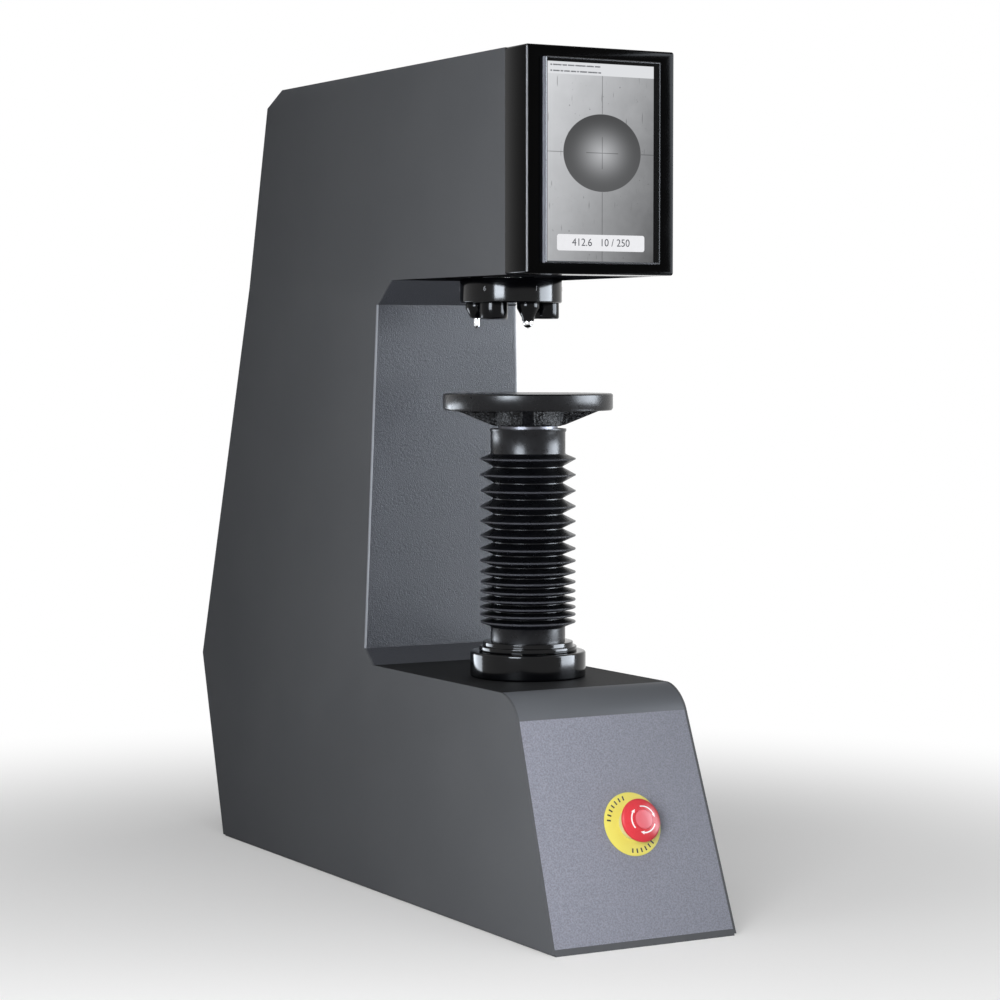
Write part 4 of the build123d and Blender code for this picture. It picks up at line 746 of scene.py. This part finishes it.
# ---- Turret drum -----------------------------------------------------------------------------------
# A turned steel drum in gloss black with six stations, one under the load axis; each station's number
# is engraved in its rim and filled white.
TURRET_Y = 0.0336
DRUM_FOOT = 0.590
DRUM_RADIUS = 0.050
FIGURE_Z = 0.6035
STATION_STEP = math.radians(60)
drum = turn("turret_body", [(DRUM_RADIUS, HEAD_FLOOR), (DRUM_RADIUS, DRUM_FOOT + 0.0012),
                            (DRUM_RADIUS - 0.0012, DRUM_FOOT)], (0, TURRET_Y), 128)
ease_edges(drum, 0.0003, 3)
fit(drum, polished_black, "turret", "gloss_black", "turret_drum")
white_fill = new_finish("white_fill", (0.25, 0.26, 0.28), 0.5, specular=0.2)
vary_roughness(white_fill, noise(white_fill, 400.0), 0.45, 0.6)
for station in range(6):
    figure = lettered(f"station_figure_{station + 1}", str(station + 1), 0.0065, 0.0003)
    move_mesh(figure, (0, TURRET_Y - DRUM_RADIUS, FIGURE_Z))
    bpy.ops.object.mode_set(mode="EDIT")
    bpy.ops.mesh.select_all(action="SELECT")
    bpy.ops.transform.rotate(value=-STATION_STEP * station, orient_axis="Z",
                             center_override=(0, TURRET_Y, 0))
    bpy.ops.object.mode_set(mode="OBJECT")
    fit(figure, white_fill, "turret", "gloss_black")

# ---- Objectives ------------------------------------------------------------------------------------
# Three microscope objectives between the indenters: smooth black anodised barrels that taper at the
# foot, each with a recessed front lens.


def station_place(station):
    """The (X, Y) of a station, counted from the one on the load axis."""
    angle = STATION_STEP * station
    return TURRET_Y * math.sin(angle), TURRET_Y * (1 - math.cos(angle))


barrel_black = new_finish("barrel_black", (0.0012, 0.0013, 0.0018), 0.14, specular=0.12)
vary_roughness(barrel_black, noise(barrel_black, 300.0, 2.0, (1, 1, 12)), 0.11, 0.18)
lens_glass = new_finish("lens_glass", (0.01, 0.012, 0.03), 0.05, specular=0.7)
vary_roughness(lens_glass, noise(lens_glass, 200.0), 0.03, 0.06)
barrel_outline = [(0.0100, 0.610), (0.0100, DRUM_FOOT), (0.0135, DRUM_FOOT), (0.0135, 0.5762),
                  (0.0127, 0.5747), (0.0070, 0.5747), (0.0050, 0.5765)]
lens_outline = [(0.0049, 0.5772), (0.0051, 0.5764), (0.0036, 0.5758), (0.0012, 0.5755)]
for station, node in ((1, "objective_d"), (3, "objective_f"), (5, "objective_b")):
    middle = station_place(station)
    barrel = turn(f"barrel_{station + 1}", barrel_outline, middle, 64)
    ease_edges(barrel, 0.0004, 3)
    fit(barrel, barrel_black, "turret", "gloss_black", node)
    lens = turn(f"front_lens_{station + 1}", lens_outline, middle, 32)
    ease_edges(lens, 0.0001, 2)
    fit(lens, lens_glass, "turret", "gloss_black")

# ---- Indenters -------------------------------------------------------------------------------------
# Spring-loaded plungers through the drum, each with a black stepped holder: two end in a bright steel
# pin with a ground cone, and the one on the load axis grips a 10 mm carbide ball.
BALL_RADIUS = 0.005
BALL_Z = 0.5706
holder = [(0.0100, 0.6250), (0.0100, 0.6210), (0.0060, 0.6210), (0.0060, DRUM_FOOT),
          (0.0110, DRUM_FOOT), (0.0110, 0.5850)]
chrome = new_finish("bright_steel", (0.75, 0.75, 0.76), 0.12, 1.0)
vary_roughness(chrome, noise(chrome, 500.0, 2.0, (1, 1, 10)), 0.08, 0.18)
for station, node, body in ((2, "indenter_e", "indenter_e"), (4, "indenter_a", "indenter_a")):
    middle = station_place(station)
    shank = turn(f"pin_holder_{station + 1}", holder + [(0.0060, 0.5757), (0.0036, 0.5750)], middle, 64)
    ease_edges(shank, 0.0003, 2)
    fit(shank, barrel_black, body, "gloss_black", node)
    pin = turn(f"pin_{station + 1}", [(0.0030, 0.5790), (0.0030, 0.5678), (0.0004, 0.5656)], middle, 40)
    ease_edges(pin, 0.0002, 2)
    fit(pin, chrome, body, "bright_steel")
shank = turn("ball_holder", holder + [(0.0062, 0.5757), (0.0058, 0.5725), (0.0050, 0.5721)],
             segments=64)
ease_edges(shank, 0.0003, 2)
fit(shank, barrel_black, "indenter_c", "gloss_black", "indenter_c")
bpy.ops.object.select_all(action="DESELECT")
bpy.ops.mesh.primitive_uv_sphere_add(segments=48, ring_count=24, radius=BALL_RADIUS,
                                     location=(0, 0, BALL_Z))
ball = bpy.context.object
ball.name = "carbide_ball"
bpy.ops.object.transform_apply(location=True)
bpy.ops.object.shade_smooth()
fit(ball, chrome, "indenter_c", "bright_steel", "indenter_ball")

# ---- Turret and load mechanism in the head ---------------------------------------------------------
# Ground steel shaft, bearing, ram and screw, an alloy load cell and black motors and camera, stacked
# on the load axis inside the head.
dress(ground_steel, "turret_shaft", "turret_bearing", "load_ram", "load_screw")
dress(milled_alloy, "load_cell")
dress(motor_black, "turret_motor", "load_motor", "camera_module")

# ---- Electronics -----------------------------------------------------------------------------------
# In the column, on an alloy plate screwed to the casting: a lacquered green circuit board and a
# power supply in a folded alloy case.
dress(milled_alloy, "electronics_plate", "power_supply")
board_lacquer = new_finish("board_lacquer", (0.012, 0.10, 0.035), 0.35)
vary_roughness(board_lacquer, noise(board_lacquer, 220.0), 0.25, 0.5)
dress(board_lacquer, "control_board")

# ---- Mains inlet and rocker switch -----------------------------------------------------------------
# Black moulded plastic, clipped into the lower rear cover: a rocker switch in one moulding with an
# appliance inlet.
black_plastic = new_finish("black_plastic", (0.018, 0.018, 0.019), 0.42)
bump(black_plastic, noise(black_plastic, 1500.0), 0.00005)
dress(black_plastic, "power_inlet", "power_rocker")

# ---- Emergency stop --------------------------------------------------------------------------------
# A latching push switch through the sloped front: a printed yellow disc, a pale threaded collar and a
# glossy red mushroom head with three white turning arrows round its centre cap.
STOP_CENTRE = Vector((0.0088, -0.17796, 0.1057))
STOP_TILT = math.atan2(0.2265, 0.0858)
CAP_RADIUS = 0.0090
TICK_RADIUS = 0.0252
ARROW_RADIUS = 0.0124
ARROW_WIDTH = 0.0012
ARROW_STEPS = 15
ARROW_STEP = math.radians(4.5)
POINT_ANGLE = math.radians(17)
dress(black_plastic, "estop_stem", "estop_contacts")
dress(ground_steel, "estop_nut")


def stand_on_front(piece):
    """Tips a piece made round the Z axis onto the sloped front and moves it there."""
    piece.rotation_euler = (STOP_TILT, 0, 0)
    piece.location = STOP_CENTRE
    only(piece)
    bpy.ops.object.transform_apply(location=True, rotation=True)


stop_yellow = new_finish("stop_yellow", (0.74, 0.68, 0.14), 0.4, specular=0.03)
vary_roughness(stop_yellow, noise(stop_yellow, 200.0), 0.3, 0.42)
legend = turn("stop_legend", [(0.0300, 0.0012), (0.0300, 0.0), (0.0112, 0.0), (0.0112, 0.0012)],
              tube=True)
ease_edges(legend, 0.0004, 2)
stand_on_front(legend)
fit(legend, stop_yellow, "frame", "stop_yellow", "estop_label")
ticks = []
for bearing in (*range(102, 175, 11), *range(258, 315, 11)):
    bpy.ops.object.select_all(action="DESELECT")
    turned = math.radians(bearing)
    middle = (TICK_RADIUS * math.cos(turned), TICK_RADIUS * math.sin(turned), 0.00125)
    bpy.ops.mesh.primitive_plane_add(size=1, location=middle, rotation=(0, 0, turned))
    tick = bpy.context.object
    tick.scale = (0.0042, 0.0015, 1)
    bpy.ops.object.transform_apply(location=True, rotation=True, scale=True)
    ticks.append(tick)
scale_marks = joined(ticks, "legend_ticks")
bake(scale_marks, "SOLIDIFY", thickness=0.0001, offset=-1.0)
stand_on_front(scale_marks)
fit(scale_marks, dark_print, "frame", "black_plastic")
pale_collar = new_finish("pale_collar", (0.62, 0.58, 0.34), 0.4, specular=0.4)
vary_roughness(pale_collar, noise(pale_collar, 200.0), 0.35, 0.5)
stop_collar = turn("stop_collar", [(0.0135, 0.0080), (0.0150, 0.0060), (0.0150, 0.0012),
                                   (0.0110, 0.0012), (0.0110, -0.0200), (0.00805, -0.0200),
                                   (0.00805, 0.0080)], segments=64, tube=True)
ease_edges(stop_collar, 0.0003, 2)
stand_on_front(stop_collar)
fit(stop_collar, pale_collar, "frame", "black_plastic", "estop_collar")
stop_red = new_finish("stop_red", (0.62, 0.045, 0.058), 0.3, specular=0.08)
from_stop_axis = from_axis(stop_red, STOP_CENTRE, STOP_TILT)
# Inside the centre cap the red is painted paler and pinker: a painted reflection.
vary_colour(stop_red, from_stop_axis, (0.70, 0.14, 0.17), (0.62, 0.045, 0.058),
            start=CAP_RADIUS - 0.0002, end=CAP_RADIUS + 0.0002)
vary_roughness(stop_red, noise(stop_red, 150.0), 0.25, 0.36)
mushroom = turn("stop_mushroom", [
    (0.0020, 0.0225), (0.0083, 0.0225), (CAP_RADIUS, 0.0222), (CAP_RADIUS, 0.0209),
    (CAP_RADIUS + 0.0006, 0.0209), (CAP_RADIUS + 0.0006, 0.0216), (0.0120, 0.0212), (0.0145, 0.0204),
    (0.0168, 0.0195), (0.0186, 0.0186), (0.0198, 0.0178), (0.0204, 0.0168), (0.0202, 0.0155),
    (0.0194, 0.0138), (0.0183, 0.0127), (0.0175, 0.0125), (0.00505, 0.0125), (0.00505, 0.0192)])
only(mushroom)
bpy.ops.object.shade_smooth_by_angle(angle=math.radians(40))
stop_white = new_finish("stop_white", (0.80, 0.78, 0.78), 0.4, specular=0.3)
vary_roughness(stop_white, noise(stop_white, 200.0), 0.35, 0.5)
for start in (90, 210, 330):
    bpy.ops.object.select_all(action="DESELECT")
    bpy.ops.mesh.primitive_plane_add(size=ARROW_WIDTH, location=(ARROW_RADIUS, ARROW_WIDTH / 2, 0.040))
    arrow = bpy.context.object
    arrow.name = f"stop_arrow_{start}"
    bpy.ops.object.transform_apply(location=True)
    bpy.ops.object.mode_set(mode="EDIT")
    pick(arrow, "edges", lambda place, way: place.y < HAIR)
    for step in range(ARROW_STEPS):
        bpy.ops.mesh.extrude_region_move()
        bpy.ops.transform.rotate(value=ARROW_STEP, orient_axis="Z", center_override=(0, 0, 0))
    bpy.ops.mesh.extrude_region_move()
    bpy.ops.transform.resize(value=(2.6, 2.6, 2.6))
    bpy.ops.mesh.extrude_region_move()
    bpy.ops.transform.rotate(value=POINT_ANGLE, orient_axis="Z", center_override=(0, 0, 0))
    bpy.ops.transform.resize(value=(0.04, 0.04, 0.04))
    bpy.ops.mesh.select_all(action="SELECT")
    bpy.ops.mesh.subdivide(number_cuts=2)
    bpy.ops.transform.rotate(value=math.radians(-start), orient_axis="Z", center_override=(0, 0, 0))
    bpy.ops.object.mode_set(mode="OBJECT")
    bake(arrow, "SHRINKWRAP", target=mushroom, wrap_method="PROJECT", use_project_z=True,
         use_project_x=False, use_project_y=False, use_negative_direction=True,
         use_positive_direction=False, offset=0.00008)
    stand_on_front(arrow)
    fit(arrow, stop_white, "estop_head", "stop_red")
stand_on_front(mushroom)
fit(mushroom, stop_red, "estop_head", "stop_red", "estop_mushroom")

# ---- Floor and light -------------------------------------------------------------------------------
# A plain pale floor that fades into a white surround, a soft box to the front left and two overhead,
# and four panels that only show as gleams in glossy and polished parts.
FLOOR_SIZE = 40
FADE_START = 0.35
FADE_END = 1.25
FADE_LEAST = 0.25
SKY_FILL = 0.18             # how much of the white surround lights the machine
bpy.ops.object.select_all(action="DESELECT")
bpy.ops.mesh.primitive_plane_add(size=FLOOR_SIZE, location=(0, 0, 0))
floor = bpy.context.object
floor.name = "studio_floor"
floor_paint = new_finish("floor_paint", (0.88, 0.88, 0.88), 0.9, specular=0.0)
floor_tree = floor_paint.node_tree
place = floor_tree.nodes.new("ShaderNodeTexCoord")
away = floor_tree.nodes.new("ShaderNodeVectorMath")
away.operation = "DISTANCE"
away.inputs[1].default_value = (0.0, 0.18, 0.0)
fade = floor_tree.nodes.new("ShaderNodeMapRange")
fade.interpolation_type = "SMOOTHSTEP"
fade.inputs["From Min"].default_value = FADE_START
fade.inputs["From Max"].default_value = FADE_END
fade.inputs["To Min"].default_value = FADE_LEAST
floor_tree.links.new(place.outputs["Object"], away.inputs[0])
floor_tree.links.new(away.outputs["Value"], fade.inputs["Value"])
floor.data.materials.append(floor_paint)


def seen_by_camera_or_gloss(tree):
    """1 for a ray that comes from the camera, a reflection or through glass, otherwise 0."""
    ray = tree.nodes.new("ShaderNodeLightPath")
    either = tree.nodes.new("ShaderNodeMath")
    either.operation = "MAXIMUM"
    tree.links.new(ray.outputs["Is Camera Ray"], either.inputs[0])
    tree.links.new(ray.outputs["Is Glossy Ray"], either.inputs[1])
    any_of = tree.nodes.new("ShaderNodeMath")
    any_of.operation = "MAXIMUM"
    tree.links.new(either.outputs["Value"], any_of.inputs[0])
    tree.links.new(ray.outputs["Is Transmission Ray"], any_of.inputs[1])
    return any_of.outputs["Value"]


share = floor_tree.nodes.new("ShaderNodeMath")
share.operation = "MULTIPLY"
floor_tree.links.new(seen_by_camera_or_gloss(floor_tree), share.inputs[0])
floor_tree.links.new(fade.outputs["Result"], share.inputs[1])
white = floor_tree.nodes.new("ShaderNodeEmission")
mixer = floor_tree.nodes.new("ShaderNodeMixShader")
floor_tree.links.new(share.outputs["Value"], mixer.inputs["Fac"])
floor_tree.links.new(floor_tree.nodes["Principled BSDF"].outputs["BSDF"], mixer.inputs[1])
floor_tree.links.new(white.outputs["Emission"], mixer.inputs[2])
floor_out = floor_tree.nodes["Material Output"]
floor_tree.links.new(mixer.outputs["Shader"], floor_out.inputs["Surface"])


def soft_box(name, place, aim, size, watts, gleam=False):
    """An area lamp of (width, height), turned to face a point: it lights, or is only reflected."""
    bpy.ops.object.light_add(type="AREA", location=place)
    lamp = bpy.context.object
    lamp.name = name
    lamp.data.shape = "RECTANGLE"
    lamp.data.size, lamp.data.size_y = size
    lamp.data.energy = watts
    lamp.visible_camera = False
    lamp.visible_diffuse = not gleam
    lamp.visible_glossy = gleam
    if gleam:
        lamp.data.color = (0.84, 0.91, 1.0)
    lamp.rotation_euler = (Vector(aim) - Vector(place)).to_track_quat("-Z", "Y").to_euler()


soft_box("key_box", (-0.90, -1.10, 0.40), (0, 0, 0.30), (0.5, 0.5), 16.5)
soft_box("top_box", (0.1, -0.3, 2.3), (0, 0, 0.4), (1.2, 1.2), 13)
soft_box("rear_box", (-1.5, 0.2, 2.0), (0, 0, 0.3), (1.0, 1.0), 5)
soft_box("left_gleam", (-0.65, 1.126, 0.15), (0, 0, 0.2), (0.85, 0.28), 9, gleam=True)
soft_box("right_gleam", (2.10, -1.36, 0.9), (0, 0, 0.45), (1.7, 1.9), 290, gleam=True)
soft_box("low_gleam", (0.52, -0.30, 0.060), (0, 0, 0.13), (0.35, 0.10), 2.2, gleam=True)
soft_box("strip_gleam", (-1.25, -0.83, 0.89), (0, 0, 0.65), (0.6, 0.86), 80, gleam=True)
world = bpy.data.worlds.new("studio")
bpy.context.scene.world = world
world.use_nodes = True
sky = world.node_tree
strength = sky.nodes.new("ShaderNodeMapRange")
strength.inputs["To Min"].default_value = SKY_FILL
strength.inputs["To Max"].default_value = 1.0
sky.links.new(seen_by_camera_or_gloss(sky), strength.inputs["Value"])
sky.links.new(strength.outputs["Result"], sky.nodes["Background"].inputs["Strength"])
sky.nodes["Background"].inputs["Color"].default_value = (1.0, 1.0, 1.0, 1.0)
